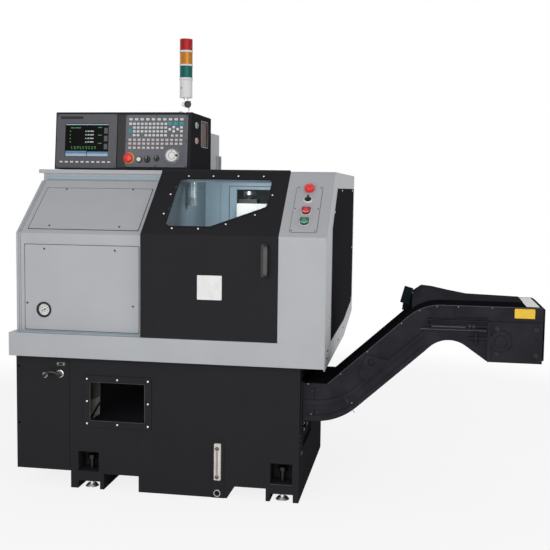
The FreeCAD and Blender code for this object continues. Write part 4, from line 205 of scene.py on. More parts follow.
class Piece:
    """One new piece of the machine, built up from small shapes on its surfaces."""

    def __init__(self, name, finish, body="machine", slot=None):
        self.name = name
        self.finish = finish
        self.body = body
        self.slot = slot or SLOT_OF[finish]
        self.mesh = bmesh.new()

    def loops(self, loops, closed=False):
        """Skins a row of loops; closed joins the last to the first, and otherwise the ends are capped."""
        rows = [[self.mesh.verts.new(point) for point in loop] for loop in loops]
        for low, high in zip(rows, rows[1:] + rows[:1] if closed else rows[1:]):
            for i in range(len(low)):
                self.mesh.faces.new((low[i - 1], low[i], high[i], high[i - 1]))
        if not closed:
            self.mesh.faces.new(rows[0][::-1])
            self.mesh.faces.new(rows[-1])
        return self

    def stacked(self, levels, at, closed=False):
        """Skins outlines set at their heights, which all have as many points."""
        rows = [[at @ Vector((*point, height)) for point in outline] for outline, height in levels]
        return self.loops(rows, closed)

    def moulding(self, outline, profile, at, closed=False):
        """Carries a profile of (inset, height) steps round an outline."""
        return self.stacked([(inset(outline, step), height) for step, height in profile], at, closed)

    def plate(self, outline, at, thickness, edge=0.4):
        """A flat plate with eased edges."""
        return self.moulding(outline, ((0, 0), (0, thickness - edge), (edge, thickness)), at)

    def border(self, at, width, height, corner, band, thickness):
        """A flat band round a rectangle with round corners; width and height are those of the inner edge."""
        profile = ((0, 0), (0, thickness), (-band, thickness), (-band, 0))
        return self.moulding(rounded(width, height, corner), profile, at, True)

    def turned(self, profile, at, facets=20, closed=False):
        """A turned shape from (radius, height) steps; a third number gives that step flat sides."""
        loops = []
        for radius, height, *flats in profile:
            loop = []
            for i in range(facets):
                angle = 2 * math.pi * i / facets
                reach = radius
                if flats:
                    side = 2 * math.pi / flats[0]
                    reach = radius * math.cos(side / 2) / math.cos(angle % side - side / 2)
                loop.append(at @ Vector((*around(angle, reach), height)))
            loops.append(loop)
        return self.loops(loops, closed)

    def tube(self, points, radius, facets=10):
        """A round bar or pipe that follows points in the frame."""
        loops = []
        side = (points[1] - points[0]).orthogonal()
        for i, point in enumerate(points):
            along = (points[min(i + 1, len(points) - 1)] - points[max(i - 1, 0)]).normalized()
            side = (side - along * side.dot(along)).normalized()
            other = along.cross(side)
            turns = [around(2 * math.pi * k / facets, radius * MM) for k in range(facets)]
            loops.append([point + side * turn.x + other * turn.y for turn in turns])
        return self.loops(loops)

    def done(self):
        """Makes the object, with creases kept, and sets it riding on its body."""
        bmesh.ops.recalc_face_normals(self.mesh, faces=self.mesh.faces)
        data = bpy.data.meshes.new(self.name)
        self.mesh.to_mesh(data)
        self.mesh.free()
        data.materials.append(bpy.data.materials[self.finish])
        data.shade_smooth()
        data.set_sharp_from_angle(angle=math.radians(35))
        made = bpy.data.objects.new(self.name, data)
        bpy.context.scene.collection.objects.link(made)
        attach(made, self.body)
        return made


# Finishes

class Field:
    """A value that varies over a surface. Sums written with it become nodes of its finish."""

    def __init__(self, finish, socket):
        self.finish = finish
        self.socket = socket

    def __add__(self, other):
        return self.finish.sum("ADD", self, other)

    __radd__ = __add__

    def __sub__(self, other):
        return self.finish.sum("SUBTRACT", self, other)

    def __rsub__(self, other):
        return self.finish.sum("SUBTRACT", other, self)

    def __mul__(self, other):
        return self.finish.sum("MULTIPLY", self, other)

    def __gt__(self, other):
        return self.finish.sum("GREATER_THAN", self, other)

    def __lt__(self, other):
        return self.finish.sum("LESS_THAN", self, other)


class Nodes:
    """The nodes of a material or of the world."""

    def __init__(self, owner):
        owner.use_nodes = True
        self.tree = owner.node_tree
        self.tree.nodes.clear()

    def node(self, kind, settings, sockets, output=0):
        """Adds any node: its settings first, then the values or links of its sockets."""
        new = self.tree.nodes.new(kind)
        for name, value in settings.items():
            setattr(new, name, value)
        for name, value in sockets.items():
            self.join(new.inputs[name], value)
        return Field(self, new if output is None else new.outputs[output])

    def join(self, socket, value):
        """Links a field to a socket, or sets the socket's own value."""
        if isinstance(value, Field):
            self.tree.links.new(value.socket, socket)
        elif socket.type == "RGBA":
            socket.default_value = (*value[:3], 1)
        else:
            socket.default_value = value

    def sum(self, operation, *terms):
        """One step of arithmetic between fields and numbers."""
        return self.node("ShaderNodeMath", {"operation": operation}, dict(enumerate(terms)))

    def seen(self):
        """1 for what the camera sees, also in a mirror or through glass, and 0 for the light on things."""
        straight, mirrored, through = (self.node("ShaderNodeLightPath", {}, {}, f"Is {kind} Ray")
                                       for kind in ("Camera", "Glossy", "Transmission"))
        return self.sum("MAXIMUM", self.sum("MAXIMUM", straight, mirrored), through)


class Finish(Nodes):
    """A material being made up: its Principled shader, and the fields that vary over the surface."""

    def __init__(self, name, **constants):
        self.material = bpy.data.materials.new(name)
        super().__init__(self.material)
        self.shader = self.node("ShaderNodeBsdfPrincipled", {}, constants)
        self.output = self.node("ShaderNodeOutputMaterial", {}, {"Surface": self.shader}, None)
        self.where = self.node("ShaderNodeTexCoord", {}, {}, "Object")
        split = self.node("ShaderNodeSeparateXYZ", {}, {"Vector": self.where}, None)
        self.x, self.y, self.z = (Field(self, split.socket.outputs[i]) for i in range(3))

    def feed(self, **values):
        """Sets the shader's own sockets, named with underscores for spaces."""
        for name, value in values.items():
            self.join(self.shader.socket.node.inputs[name.replace("_", " ")], value)

    def show(self, share, first, second):
        """Shows a mix of two shaders."""
        mixed = self.node("ShaderNodeMixShader", {}, {0: share, 1: first, 2: second})
        self.join(self.output.socket.inputs["Surface"], mixed)

    def noise(self, size, detail=3, roughness=0.55, stretch=None):
        """Cloudy variation from 0 to 1, with features about this many millimetres across."""
        where = self.where
        if stretch:
            where = self.node("ShaderNodeVectorMath", {"operation": "MULTIPLY"}, {0: self.where, 1: stretch})
        return self.node("ShaderNodeTexNoise", {}, {
            "Vector": where, "Scale": 1 / (size * MM), "Detail": detail, "Roughness": roughness})

    def cells(self, size):
        """Distance to the middle of the nearest of many small cells."""
        sockets = {"Vector": self.where, "Scale": 1 / (size * MM)}
        return self.node("ShaderNodeTexVoronoi", {}, sockets, "Distance")

    def step(self, value, low, high):
        """0 below the low value, 1 above the high one, and smooth between."""
        return self.node("ShaderNodeMapRange", {"interpolation_type": "SMOOTHSTEP"}, {
            "Value": value, "From Min": low, "From Max": high})

    def mix(self, share, first, second):
        """Mixes two colours by a share."""
        return self.node("ShaderNodeMix", {"data_type": "RGBA"}, {0: share, 6: first, 7: second}, 2)

    def tint(self, colour, amount, low, high):
        """A colour made darker and lighter by a field between two limits."""
        return self.mix(self.step(amount, 0.3, 0.7), shade(colour, 1 - low), shade(colour, 1 + high))

    def edges(self, radius):
        """The rounded normal at the edges, and a field that is 1 along them."""
        eased = self.node("ShaderNodeBevel", {"samples": 4}, {"Radius": radius * MM})
        flat = self.node("ShaderNodeNewGeometry", {}, {}, "Normal")
        facing = self.node("ShaderNodeVectorMath", {"operation": "DOT_PRODUCT"}, {0: eased, 1: flat}, "Value")
        return eased, self.step(1 - facing, 0.01, 0.16)

    def bump(self, height, depth, normal=None):
        """A bump of this many millimetres."""
        sockets = {"Height": height, "Strength": 1, "Distance": depth * MM}
        if normal:
            sockets["Normal"] = normal
        self.feed(Normal=self.node("ShaderNodeBump", {}, sockets))


def shade(colour, share, lift=0):
    """A colour times a share, lifted by a little."""
    return tuple(min(1, c * share + lift) for c in colour)


def painted(name, colour, grain=1.6, depth=0.03, roughness=0.42, wear=0.35, edge=1.5):
    """Baked paint on sheet metal: a fine grain, faint clouds and rubbed edges."""
    finish = Finish(name, **{"Specular IOR Level": 0.3})
    normal, rubbed = finish.edges(edge)
    clouds = finish.noise(240, 2)
    fine = finish.noise(grain, 2)
    base = finish.tint(colour, clouds, 0.025, 0.025)
    rub = rubbed * finish.step(finish.noise(9, 4), 0.35, 0.75) * wear
    finish.feed(Base_Color=finish.mix(rub, base, shade(colour, 1.25, 0.03)))
    finish.feed(Roughness=roughness + (clouds - 0.5) * 0.12 + (fine - 0.5) * 0.1)
    finish.bump(fine, depth, normal)
    return finish


def textured(name, colour, roughness=0.5, wear=0.5, edge=1.8):
    """Near-black wrinkle paint: small raised cells with painted highlights on their tops, and edges rubbed
    paler.
    """
    finish = Finish(name, **{"Specular IOR Level": 0})
    normal, rubbed = finish.edges(edge)
    clouds = finish.noise(160)
    speckle = finish.step(finish.cells(1.9), 0.1, 0.75)
    # the middles of the raised cells are mixed towards a paler copy of the paint: painted highlight
    base = finish.mix(speckle * 0.5, shade(colour, 1.35, 0.004), finish.tint(colour, clouds, 0.1, 0.1))
    rub = rubbed * finish.step(finish.noise(7, 4), 0.3, 0.8) * wear
    finish.feed(Base_Color=finish.mix(rub, base, shade(colour, 2.2, 0.02)))
    finish.feed(Roughness=roughness + (speckle - 0.5) * 0.16 + (clouds - 0.5) * 0.1)
    finish.bump(1 - speckle, 0.09, normal)
    return finish


def moulded(name, colour, roughness=0.35, grain=0.7, depth=0.02, specular=0.5, coat=0):
    """Moulded plastic: a very fine grain and faint clouds."""
    finish = Finish(name, **{"Specular IOR Level": specular, "Coat Weight": coat, "Coat Roughness": 0.05})
    clouds = finish.noise(35)
    normal, rubbed = finish.edges(0.6)
    base = finish.tint(colour, clouds, 0.04, 0.04)
    finish.feed(Base_Color=finish.mix(rubbed * 0.4, base, shade(colour, 1.12, 0.01)))
    finish.feed(Roughness=roughness + (clouds - 0.5) * 0.1)
    finish.bump(finish.noise(grain, 2), depth, normal)
    return finish


def bare_metal(name, colour, roughness=0.3, stretch=None, size=2.5, stain=0.12, metallic=1):
    """Machined or ground metal: fine marks that run one way, and faint stains."""
    finish = Finish(name, Metallic=metallic)
    marks = finish.noise(size, 4, 0.6, stretch)
    stains = finish.noise(60, 4)
    normal, rubbed = finish.edges(0.8)
    base = finish.tint(colour, stains, stain, stain / 2)
    finish.feed(Base_Color=finish.mix(rubbed * 0.5, base, shade(colour, 1.2)))
    finish.feed(Roughness=roughness + (marks - 0.5) * 0.22 + (stains - 0.5) * 0.12)
    finish.bump(marks, 0.03, normal)
    return finish


def clear(name, tint, roughness=0.05):
    """A clear pane with faint smears."""
    finish = Finish(name, IOR=1.45)
    smears = finish.noise(45, 4, 0.6, (1, 0.4, 0.4))
    finish.feed(Base_Color=finish.tint(tint, smears, 0.03, 0.03))
    finish.feed(Roughness=roughness + (smears - 0.5) * 0.05)
    glass = finish.node("ShaderNodeBsdfTransparent", {}, {"Color": (0.93, 0.96, 0.97)})
    mirror = finish.node("ShaderNodeFresnel", {}, {"IOR": 1.35})
    entering = 1 - finish.node("ShaderNodeNewGeometry", {}, {}, "Backfacing")
    finish.show((mirror * 0.8 + finish.step(smears, 0.55, 0.9) * 0.03) * entering, glass, finish.shader)


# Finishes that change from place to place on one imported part, and where in the drawing they change

GRIP_ENDS = (984, 1078)
BLOCK_FOOT = 1255.4
CAP_FOOT = 1276.2
TOOL_PLATE = -406.5
COVER_FOOT = 929
COLLAR_TOP = 1284
TOWER_AXIS = (-629, 480)
TOWER_POST_TOP = 1751
LENS_BANDS = ((1844, 1898), (1906, 1961), (1970, 2026))
WAY_FRAME_LEFT = -519
CASING_FRONT = 32
PAD_TOP = 38
TERMINAL_BOX_END = 451.5


def handle_plastic():
    """Black plastic whose grip is paler between its ends."""
    finish = moulded("handle plastic", (0.012, 0.012, 0.012), 0.38, 0.9, 0.03)
    low, high = (place(0, 0, z).z for z in GRIP_ENDS)
    fade = 6 * MM
    grip = finish.step(finish.z, low - fade, low + fade) - finish.step(finish.z, high - fade, high + fade)
    finish.feed(Base_Color=finish.mix(grip, (0.007, 0.007, 0.007), (0.02, 0.0195, 0.018)))


def head_cover(colours):
    """Pale cover over the tool head, black block under the cap, ground steel cap and tool plate."""
    finish = painted("head cover", colours.cover, 2.2, 0.02, 0.4, 0.3)
    clouds = finish.noise(70)
    cap = finish.z > place(0, 0, CAP_FOOT).z
    tools = finish.x < place(TOOL_PLATE, 0, 0).x
    colour = finish.tint(colours.cover, clouds, 0.03, 0.02)
    for where, other in ((finish.z > place(0, 0, BLOCK_FOOT).z, (0.01, 0.01, 0.011)),
                         (cap, (0.4, 0.4, 0.4)),
                         (tools, (0.5, 0.5, 0.51)),
                         (finish.z < place(0, 0, COVER_FOOT).z,
                          finish.tint(colours.casting, clouds, 0.06, 0.06))):
        colour = finish.mix(where, colour, other)
    bare = finish.step(cap + tools, 0.4, 0.6)
    finish.feed(Base_Color=colour, Metallic=bare, Roughness=0.42 + (clouds - 0.5) * 0.1)


def tube_lamp():
    """Frosted tube over a knurled collar, whose grooves and ridges are painted dark and pale as shade and
    highlight.
    """
    finish = moulded("lamp", (0.64, 0.72, 0.74), 0.12, 1.2, 0.01, coat=0.6)
    rising, falling = finish.x + finish.z, finish.x - finish.z
    knurl = finish.sum("SINE", rising * 1600) * finish.sum("SINE", falling * 1600)
    collar = finish.z < place(0, 0, COLLAR_TOP).z
    # the knurl's grooves dark and its ridges pale: painted shade and painted highlight on the collar
    steel = finish.mix(finish.step(knurl, -0.2, 0.4), (0.12, 0.15, 0.17), (0.62, 0.66, 0.68))
    glow = finish.mix(finish.step(finish.noise(50), 0.3, 0.7), (0.3, 0.39, 0.41), (0.5, 0.6, 0.61))
    finish.feed(Base_Color=finish.mix(collar, glow, steel), Roughness=0.12 + collar * 0.2)
    finish.bump(knurl * collar, 0.5)


def tower_lenses(colours):
    """The signal tower: pale body, and lenses of three colours with upright ribs, between pale rings; the
    lenses carry painted shade between the ribs and a painted sheen in bands.
    """
    finish = moulded("tower", (0.74, 0.74, 0.75), 0.3, 1, 0.01, 0.12)
    middle = sum(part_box("tower_body"), Vector()) / 2
    turn = finish.sum("ARCTAN2", finish.y - middle.y, finish.x - middle.x)
    # painted sheen: five bands round the tower where the lenses are paler
    sheen = finish.step(finish.sum("SINE", turn * 5 + 1), 0.1, 0.9)
    ribs = finish.sum("SINE", turn * 40) * 0.2 + 0.3 + sheen * 0.5
    colour = finish.tint((0.74, 0.74, 0.75), finish.noise(40), 0.03, 0.03)
    lenses = 0
    for (bottom, top), tone in zip(LENS_BANDS, (colours.lamp_green, colours.lamp_orange, colours.lamp_red)):
        band = (finish.z > place(0, 0, bottom).z) - (finish.z > place(0, 0, top).z)
        # each lens is mixed towards a darker copy of its colour between the ribs and outside the sheen:
        # painted shade
        colour = finish.mix(band, colour, finish.mix(ribs, shade(tone, 0.3), tone))
        lenses = lenses + band
    metal = finish.z < place(0, 0, TOWER_POST_TOP).z
    finish.feed(Base_Color=finish.mix(metal, colour, (0.55, 0.55, 0.56)), Metallic=metal,
                Roughness=0.22 + metal * 0.1 + finish.noise(12) * 0.05)
    finish.bump(ribs * lenses, 0.4)


def chamber_walls(colours, wear):
    """The chamber's back wall, with fainter clouds in the frame round the way opening, and a slightly darker
    tone left of it as painted shade.
    """
    finish = painted("chamber back paint", colours.chamber, wear=wear)
    clouds = finish.noise(200)
    dark = finish.tint(shade(colours.chamber, 0.98), clouds, 0.04, 0.04)
    pale = finish.tint(colours.chamber, clouds, 0.03, 0.03)
    # left of the way frame the wall takes the darker tone: painted shade
    finish.feed(Base_Color=finish.mix(finish.x < place(WAY_FRAME_LEFT, 0, 0).x, pale, dark))


def casing_paint(colours, wear):
    """The conveyor's paint, with a darker copy behind the front of its casing as painted shade."""
    finish = textured("casing paint", colours.casing, 0.44, wear)
    clouds = finish.noise(90)
    front = finish.tint(colours.casing, clouds, 0.14, 0.16)
    deep = finish.tint(shade(colours.casing, 0.35), clouds, 0.1, 0.1)
    # behind the casing's front the paint is a darker copy: painted shade
    finish.feed(Base_Color=finish.mix(finish.y > place(0, CASING_FRONT, 0).y, front, deep))


def hood_paint(colours, wear):
    """The motor hood in a paler copy of the casing paint as painted light, with the terminal box in its own.
    """
    # the hood's paler copy of the casing paint is painted light
    tone = shade(colours.casing, 1.2)
    finish = textured("motor hood", tone, 0.44, wear)
    clouds = finish.noise(60)
    hood = finish.tint(tone, clouds, 0.1, 0.1)
    box = finish.tint(colours.terminal, clouds, 0.08, 0.08)
    finish.feed(Base_Color=finish.mix(finish.x < place(TERMINAL_BOX_END, 0, 0).x, hood, box))


def levelling_steel():
    """Blackened screws over plated pads."""
    finish = bare_metal("levelling steel", (0.06, 0.06, 0.062), 0.4, size=1.2)
    colour = finish.mix(finish.z < place(0, 0, PAD_TOP).z, (0.035, 0.035, 0.036), (0.78, 0.78, 0.8))
    finish.feed(Base_Color=colour, Roughness=0.42 + (finish.noise(30) - 0.5) * 0.1)


# Sizes and colours that a user would change

def colour_setting(name, description, default):
    return bpy.props.FloatVectorProperty(name=name, description=description, subtype="COLOR", size=3,
                                         min=0, max=1, default=default)


def size_setting(name, default, low, high, description="Head radius in millimetres"):
    return bpy.props.FloatProperty(name=name, description=description, default=default, min=low, max=high)


class LatheColours(bpy.types.PropertyGroup):
    """The colours of the machine's paint, plastic and glass."""

    sheet: colour_setting("Sheet metal", "Light paint of covers, belt, column and roof", (0.44, 0.453, 0.478))
    black: colour_setting("Black paint", "Paint of the base, door and side panel", (0.02, 0.0195, 0.0225))
    casing: colour_setting("Casing paint", "Paint of the chip conveyor", (0.027, 0.027, 0.033))
    cabinet: colour_setting("Control box", "Dark paint of the control box", (0.022, 0.022, 0.025))
    bezel: colour_setting("Screen bezel", "Bezel round the screen", (0.06, 0.061, 0.073))
    key_bezel: colour_setting("Key bezel", "Face plate round the keys", (0.092, 0.099, 0.116))
    chamber: colour_setting("Chamber", "Paint inside the work chamber", (0.41, 0.53, 0.61))
    casting: colour_setting("Castings", "Paint of the bed, headstock and saddle", (0.27, 0.3, 0.31))
    cover: colour_setting("Head cover", "Cover of the moving tool head", (0.78, 0.755, 0.715))
    red: colour_setting("Red buttons", "Stop buttons", (0.76, 0.022, 0.018))
    green: colour_setting("Green buttons", "Start buttons", (0.004, 0.29, 0.16))
    yellow: colour_setting("Yellow ring", "Ring under the emergency stop", (0.6, 0.41, 0.02))
    teal: colour_setting("Coloured keys", "Keys of the second colour", (0.012, 0.24, 0.25))
    key: colour_setting("Plain keys", "Pale keys", (0.7, 0.7, 0.69))
    lamp_red: colour_setting("Top lens", "Top lens of the signal tower", (0.7, 0.03, 0.032))
    lamp_orange: colour_setting("Middle lens", "Middle lens of the signal tower", (0.96, 0.38, 0.05))
    lamp_green: colour_setting("Lower lens", "Lower lens of the signal tower", (0.018, 0.21, 0.175))
    terminal: colour_setting("Terminal box", "Terminal box of the conveyor's motor", (0.012, 0.017, 0.02))


class LatheSizes(bpy.types.PropertyGroup):
    """The sizes of the small parts, in millimetres, and how worn the paint is."""

    window_screw: size_setting("Window screws", 4.2, 2, 9)
    panel_screw: size_setting("Panel screws", 4.4, 2, 9)
    small_screw: size_setting("Small screws", 3, 1, 6)
    frame_screw: size_setting("Frame screws", 4.6, 2, 9)
    casing_bolt: size_setting("Casing bolts", 6, 3, 12)
    gasket: size_setting("Window gasket", 8, 3, 16, "Width of the rubber strip in millimetres")
    seam: size_setting("Panel seams", 2, 0.5, 4, "Width of the dark seam round a panel in millimetres")
    wear: size_setting("Wear", 0.35, 0, 1, "How much the paint's edges are rubbed")


class LatheStage(bpy.types.PropertyGroup):
    """The floor and the studio light."""

    floor: colour_setting("Floor", "Colour of the floor", (0.93, 0.93, 0.93))
    sky: size_setting("Room light", 0.36, 0, 3, "Strength of the light from all round")
    front: size_setting("Front light", 98, 0, 2000, "Strength of the large front light, in watts")
    side: size_setting("Side light", 36, 0, 2000, "Strength of the right light, in watts")
    inside: size_setting("Inside light", 0.9, 0, 200, "Strength of the light in the work chamber, in watts")


# Colour, roughness, size of the grain and its depth in millimetres, and specular level
PLASTICS = {
    "warm key": ((0.64, 0.56, 0.54), 0.4),
    # pale plastic is the colour of the painted glints on the switch housings
    "painted glint": ((0.7, 0.62, 0.61), 0.3),
    "white plastic": ((0.78, 0.78, 0.76), 0.3),
    "wheel grey": ((0.36, 0.36, 0.36), 0.4),
    "black plastic": ((0.008, 0.008, 0.009), 0.3, 0.7, 0.02, 0.3),
    "rubber": ((0.006, 0.006, 0.007), 0.75, 1.1, 0.05, 0.2),
    "seam shadow": ((0.052, 0.054, 0.059), 0.8, 1.1, 0.02, 0.1),
    "fold shadow": ((0.15, 0.155, 0.165), 0.8, 1.1, 0.02, 0.1),
    "casing seam": ((0.006, 0.006, 0.008), 0.8, 1.1, 0.02, 0.1),
    "blank plate": ((0.78, 0.78, 0.77), 0.35, 2, 0.01),
    "yellow plate": ((0.86, 0.54, 0.02), 0.4, 2, 0.01),
    "inner sheet": ((0.02, 0.016, 0.01), 0.5, 2, 0.02),
    "buff plate": ((0.13, 0.11, 0.095), 0.5, 2, 0.02),
    "recess back": ((0.085, 0.04, 0.034), 0.6, 2, 0.03),
    "gauge face": ((0.8, 0.8, 0.79), 0.3, 2, 0.005),
    "gauge mark": ((0.015, 0.015, 0.018), 0.5, 2, 0.005),
    "gauge body": ((0.66, 0.62, 0.58), 0.3, 2, 0.02),
    "gauge strip": ((0.33, 0.285, 0.26), 0.4, 2, 0.01),
    "screen glass": ((0.003, 0.003, 0.003), 0.25, 3, 0.003, 0.06),
    "screen pale": ((0.42, 0.5, 0.47), 0.3, 3, 0.003),
    "screen green": ((0.06, 0.28, 0.05), 0.3, 3, 0.003),
    "screen grey": ((0.05, 0.056, 0.06), 0.3, 3, 0.003),
    "screen teal": ((0.09, 0.23, 0.38), 0.3, 3, 0.003),
    "screen blue": ((0.36, 0.48, 0.62), 0.3, 3, 0.003),
}
# Colour, roughness, stretch of the marks, their size in millimetres, stain and metallic share
METALS = {
    "bright screw": ((0.72, 0.72, 0.72), 0.24),
    "dull screw": ((0.2, 0.2, 0.205), 0.4),
    "dark screw": ((0.06, 0.06, 0.062), 0.38, None, 2.5, 0.2),
    "gauge screw": ((0.15, 0.11, 0.08), 0.35, None, 1.2),
    "black steel": ((0.02, 0.02, 0.021), 0.42, None, 2.5, 0.25, 0.4),
    "ground steel": ((0.56, 0.57, 0.58), 0.26, (0.1, 1, 1), 1.5),
    "turned steel": ((0.5, 0.5, 0.51), 0.3, (1, 0.15, 0.15), 1.5),
    "belt steel": ((0.3, 0.3, 0.31), 0.42, None, 4, 0.25),
    "screw steel": ((0.34, 0.33, 0.32), 0.4, (1, 1, 3), 2, 0.25),
    "plated brass": ((0.44, 0.43, 0.4), 0.22, None, 1.2),
}


def mix_finishes(colours, wear):
    """Makes every finish of the machine."""
    for name, look in PLASTICS.items():
        moulded(name, *look)
    for name, look in METALS.items():
        bare_metal(name, *look)
    for name, *look in (
            ("screen bezel", colours.bezel, 0.45, 0.9, 0.03),
            ("key bezel", colours.key_bezel, 0.5, 0.9, 0.03),
            ("plain key", colours.key, 0.4), ("coloured key", colours.teal, 0.4),
            ("red plastic", colours.red, 0.28), ("deep red", shade(colours.red, 0.36), 0.3),
            ("green plastic", colours.green, 0.28), ("deep green", shade(colours.green, 0.34), 0.3),
            ("yellow plastic", colours.yellow)):
        moulded(name, *look)
    for name, colour in (
            # rubbed edge, a pale grey on the black base, is painted highlight along edges
            ("sheet paint", colours.sheet), ("edge highlight", (0.085, 0.085, 0.09)),
            # casing edge is the casing paint made paler: painted highlight along the conveyor's edges and
            # joints, also used for its tension rods
            ("casing edge", shade(colours.casing, 2.6)), ("chamber paint", shade(colours.chamber, 0.8)),
            # chamber side paint is a darker copy of the chamber paint: painted shade on the chamber's left
            # side
            ("shaded chamber paint", shade(colours.chamber, 0.56))):
        painted(name, colour, wear=wear)
    painted("roof paint", colours.sheet, wear=wear * 0.6)
    painted("casting paint", colours.casting, 5, 0.35, 0.5, 0.5, 2.5)
    textured("black paint", colours.black, wear=wear)
    textured("box paint", colours.cabinet, 0.48, wear * 0.6)
    clear("clear pane", (0.3, 0.34, 0.36))
    clear("inspection pane", (0.1, 0.1, 0.11), 0.12)
    chamber_walls(colours, wear)
    casing_paint(colours, wear)
    hood_paint(colours, wear)
    head_cover(colours)
    tower_lenses(colours)
    handle_plastic()
    levelling_steel()
    tube_lamp()


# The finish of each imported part
NODE_FINISHES = {
    "black paint": ("base_frame", "side_box", "coolant_tank", "inspection_frame", "door_panel", "side_panel"),
    "casing paint": ("conveyor_trough", "conveyor_cover", "take_up"),
    "motor hood": ("motor_hood",),
    "sheet paint": ("splash_tray", "left_cover", "left_wall", "cover_panels", "right_column",
                    "right_side_wall", "rear_wall", "rear_cabinet", "cabinet_door", "switch_plate"),
    "roof paint": ("roof",),
    "chamber back paint": ("chamber_back_wall",),
    "chamber paint": ("door_rails",),
    # the chamber's left wall in the darker copy of the chamber paint: painted shade
    "shaded chamber paint": ("chamber_left_wall",),
    "box paint": ("control_cabinet",),
    "screen bezel": ("screen_module",),
    "key bezel": ("key_panel",),
    "casting paint": ("bed_casting", "headstock", "z_saddle"),
    "ground steel": ("z_rails", "spindle"),
    "screw steel": ("z_ball_screw", "x_ball_screw"),
    "turned steel": ("conveyor_shaft",),
    "levelling steel": ("levelling_screws",),
    "belt steel": ("chip_belt",),
    "rubber": ("z_motor",),
    "head cover": ("x_slide",),
    "lamp": ("work_lamp",),
    "clear pane": ("door_pane",),
    "inspection pane": ("inspection_pane",),
    "gauge face": ("pressure_gauge",),
    "plated brass": ("air_fittings",),
    "handle plastic": ("door_handle",),
    "black plastic": ("column_selector", "control_knob", "control_selector", "lock_knob"),
    "gauge body": ("level_gauge",),
    "red plastic": ("column_stop", "red_button", "control_stop", "side_red_button"),
    "green plastic": ("green_button", "side_green_button"),
    "white plastic": ("white_button", "handwheel"),
    "tower": ("tower_body",),
    "bright screw": ("tower_foot",),
}

# The slot that a new piece of each finish falls in; screws are always steel
SLOTS = {
    "black_plastic": ("black plastic", "rubber", "seam shadow", "fold shadow", "casing seam", "gauge mark",
                      "gauge strip", "screen glass", "recess back", "yellow plastic", "yellow plate"),
    "white_plastic": ("white plastic", "painted glint", "blank plate", "plain key", "warm key", "gauge body",
                      "gauge face", "screen pale"),
    "green_plastic": ("green plastic", "deep green", "coloured key", "screen green", "screen grey",
                      "screen teal", "screen blue"),
    "red_plastic": ("red plastic", "deep red"),
    "black_paint": ("black paint", "casing paint", "casing edge", "edge highlight"),
    "cabinet_paint": ("key bezel",),
    "chamber_paint": ("shaded chamber paint",),
    "cast_iron": ("inner sheet", "buff plate"),
    "steel": ("bright screw", "dark screw", "dull screw", "wheel grey"),
}
SLOT_OF = {finish: slot for slot, finishes in SLOTS.items() for finish in finishes}


class LATHE_OT_finishes(bpy.types.Operator):
    """Make the paints, metals, plastics and glass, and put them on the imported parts"""

    bl_idname = "lathe.finishes"
    bl_label = "Finishes"

    def execute(self, context):
        mix_finishes(context.scene.lathe_colours, context.scene.lathe_sizes.wear)
        left = set(NODES)
        for finish, names in NODE_FINISHES.items():
            for name in names:
                materials = NODES[name].data.materials
                materials.clear()
                materials.append(bpy.data.materials[finish])
                left.discard(name)
        if left:
            raise RuntimeError("no finish for " + ", ".join(sorted(left)))
        return {"FINISHED"}


# Small fasteners

def pan_screw(piece, at, radius):
    """A low domed screw head with a six-sided socket."""
    dome = ((1, 0.22), (0.82, 0.46), (0.5, 0.55), (0.46, 0.55, 6), (0.42, 0.2, 6))
    steps = [(reach * radius, height * radius, *flats) for reach, height, *flats in dome]
    piece.turned([(radius, -0.4)] + steps, at, 24)


def hex_bolt(piece, at, radius):
    """A six-sided bolt head on a washer."""
    wide = radius * 1.12
    outer = radius * 1.45
    piece.turned(((outer, -0.3), (outer, radius * 0.2), (radius * 1.1, radius * 0.24)), at, 24)
    piece.turned(((wide, radius * 0.2, 6), (wide, radius * 0.75, 6), (radius * 0.9, radius * 0.9)), at, 24)


def rows_of_screws(name, finish, surface, places, radius, lift=0, head=pan_screw, body="machine"):
    """Screws of one size at places on one surface; each is turned a little differently."""
    piece = Piece(name, finish, body, "steel")
    for i, (x, y) in enumerate(places):
        head(piece, surface.at(x, y, lift, 1.7 * i), radius)
    piece.done()


class LATHE_OT_door(bpy.types.Operator):
    """Make the window's rubber strip, screws and clips, and the door's plate, top lip and handle base"""

    bl_idname = "lathe.door"
    bl_label = "Door details"

    def execute(self, context):
        sizes = context.scene.lathe_sizes
        low, side, high = up_slope(1165), up_slope(1250), up_slope(1369)
        window = softened(((-590, low), (-394, low), (-170, side), (-170, high), (-590, high)), 22)
        outer = -sizes.gasket
        profile = ((outer, -0.2), (outer, 1.4), (outer + 1.5, 2.4), (-2, 2.4), (0.6, 1.6), (0.6, -3.6),
                   (0, -3.6))
        Piece("window_gasket", "rubber", "door").moulding(window, profile, SLOPE.at(), True).done()

        places = ((-554, 1380), (-441, 1381), (-327, 1382), (-212, 1382), (-611, 1298), (-613, 1215),
                  (-557, 1156), (-443, 1156), (-329, 1176), (-213, 1216), (-156, 1300))
        rows_of_screws("window_screws", "bright screw", SLOPE, [(x, up_slope(z)) for x, z in places],
                       sizes.window_screw, body="door")
        clips = Piece("window_clips", "black plastic", "door")
        for z in (1326, 1234):
            clips.plate(rounded(9, 16, 2), SLOPE.at(-595, up_slope(z), 1.8), 3.4, 0.8)
        clips.done()

        plate = Piece("door_plate", "blank plate", "door")
        plate.plate(rounded(106, 103, 3), DOOR_FRONT.at(-385, 911.5), 0.8, 0.3).done()
        fold = ((281, 1393.4), (287.2, 1398.6), (287.2, 1411), (284.8, 1411), (284.8, 1400), (279.4, 1394.9))
        lip = Piece("door_top_lip", "black paint", "door")
        lip.loops([[place(x, y, z) for y, z in fold] for x in (-686, -94.6)]).done()
        handle = Piece("handle_base", "black plastic", "door")
        handle.moulding(rounded(31, 140, 12, 6), ((0, 0), (0, 2.6), (1.6, 4), (6.4, 4), (7.4, 2.4)),
                        DOOR_FRONT.at(-153, 1030)).done()
        return {"FINISHED"}


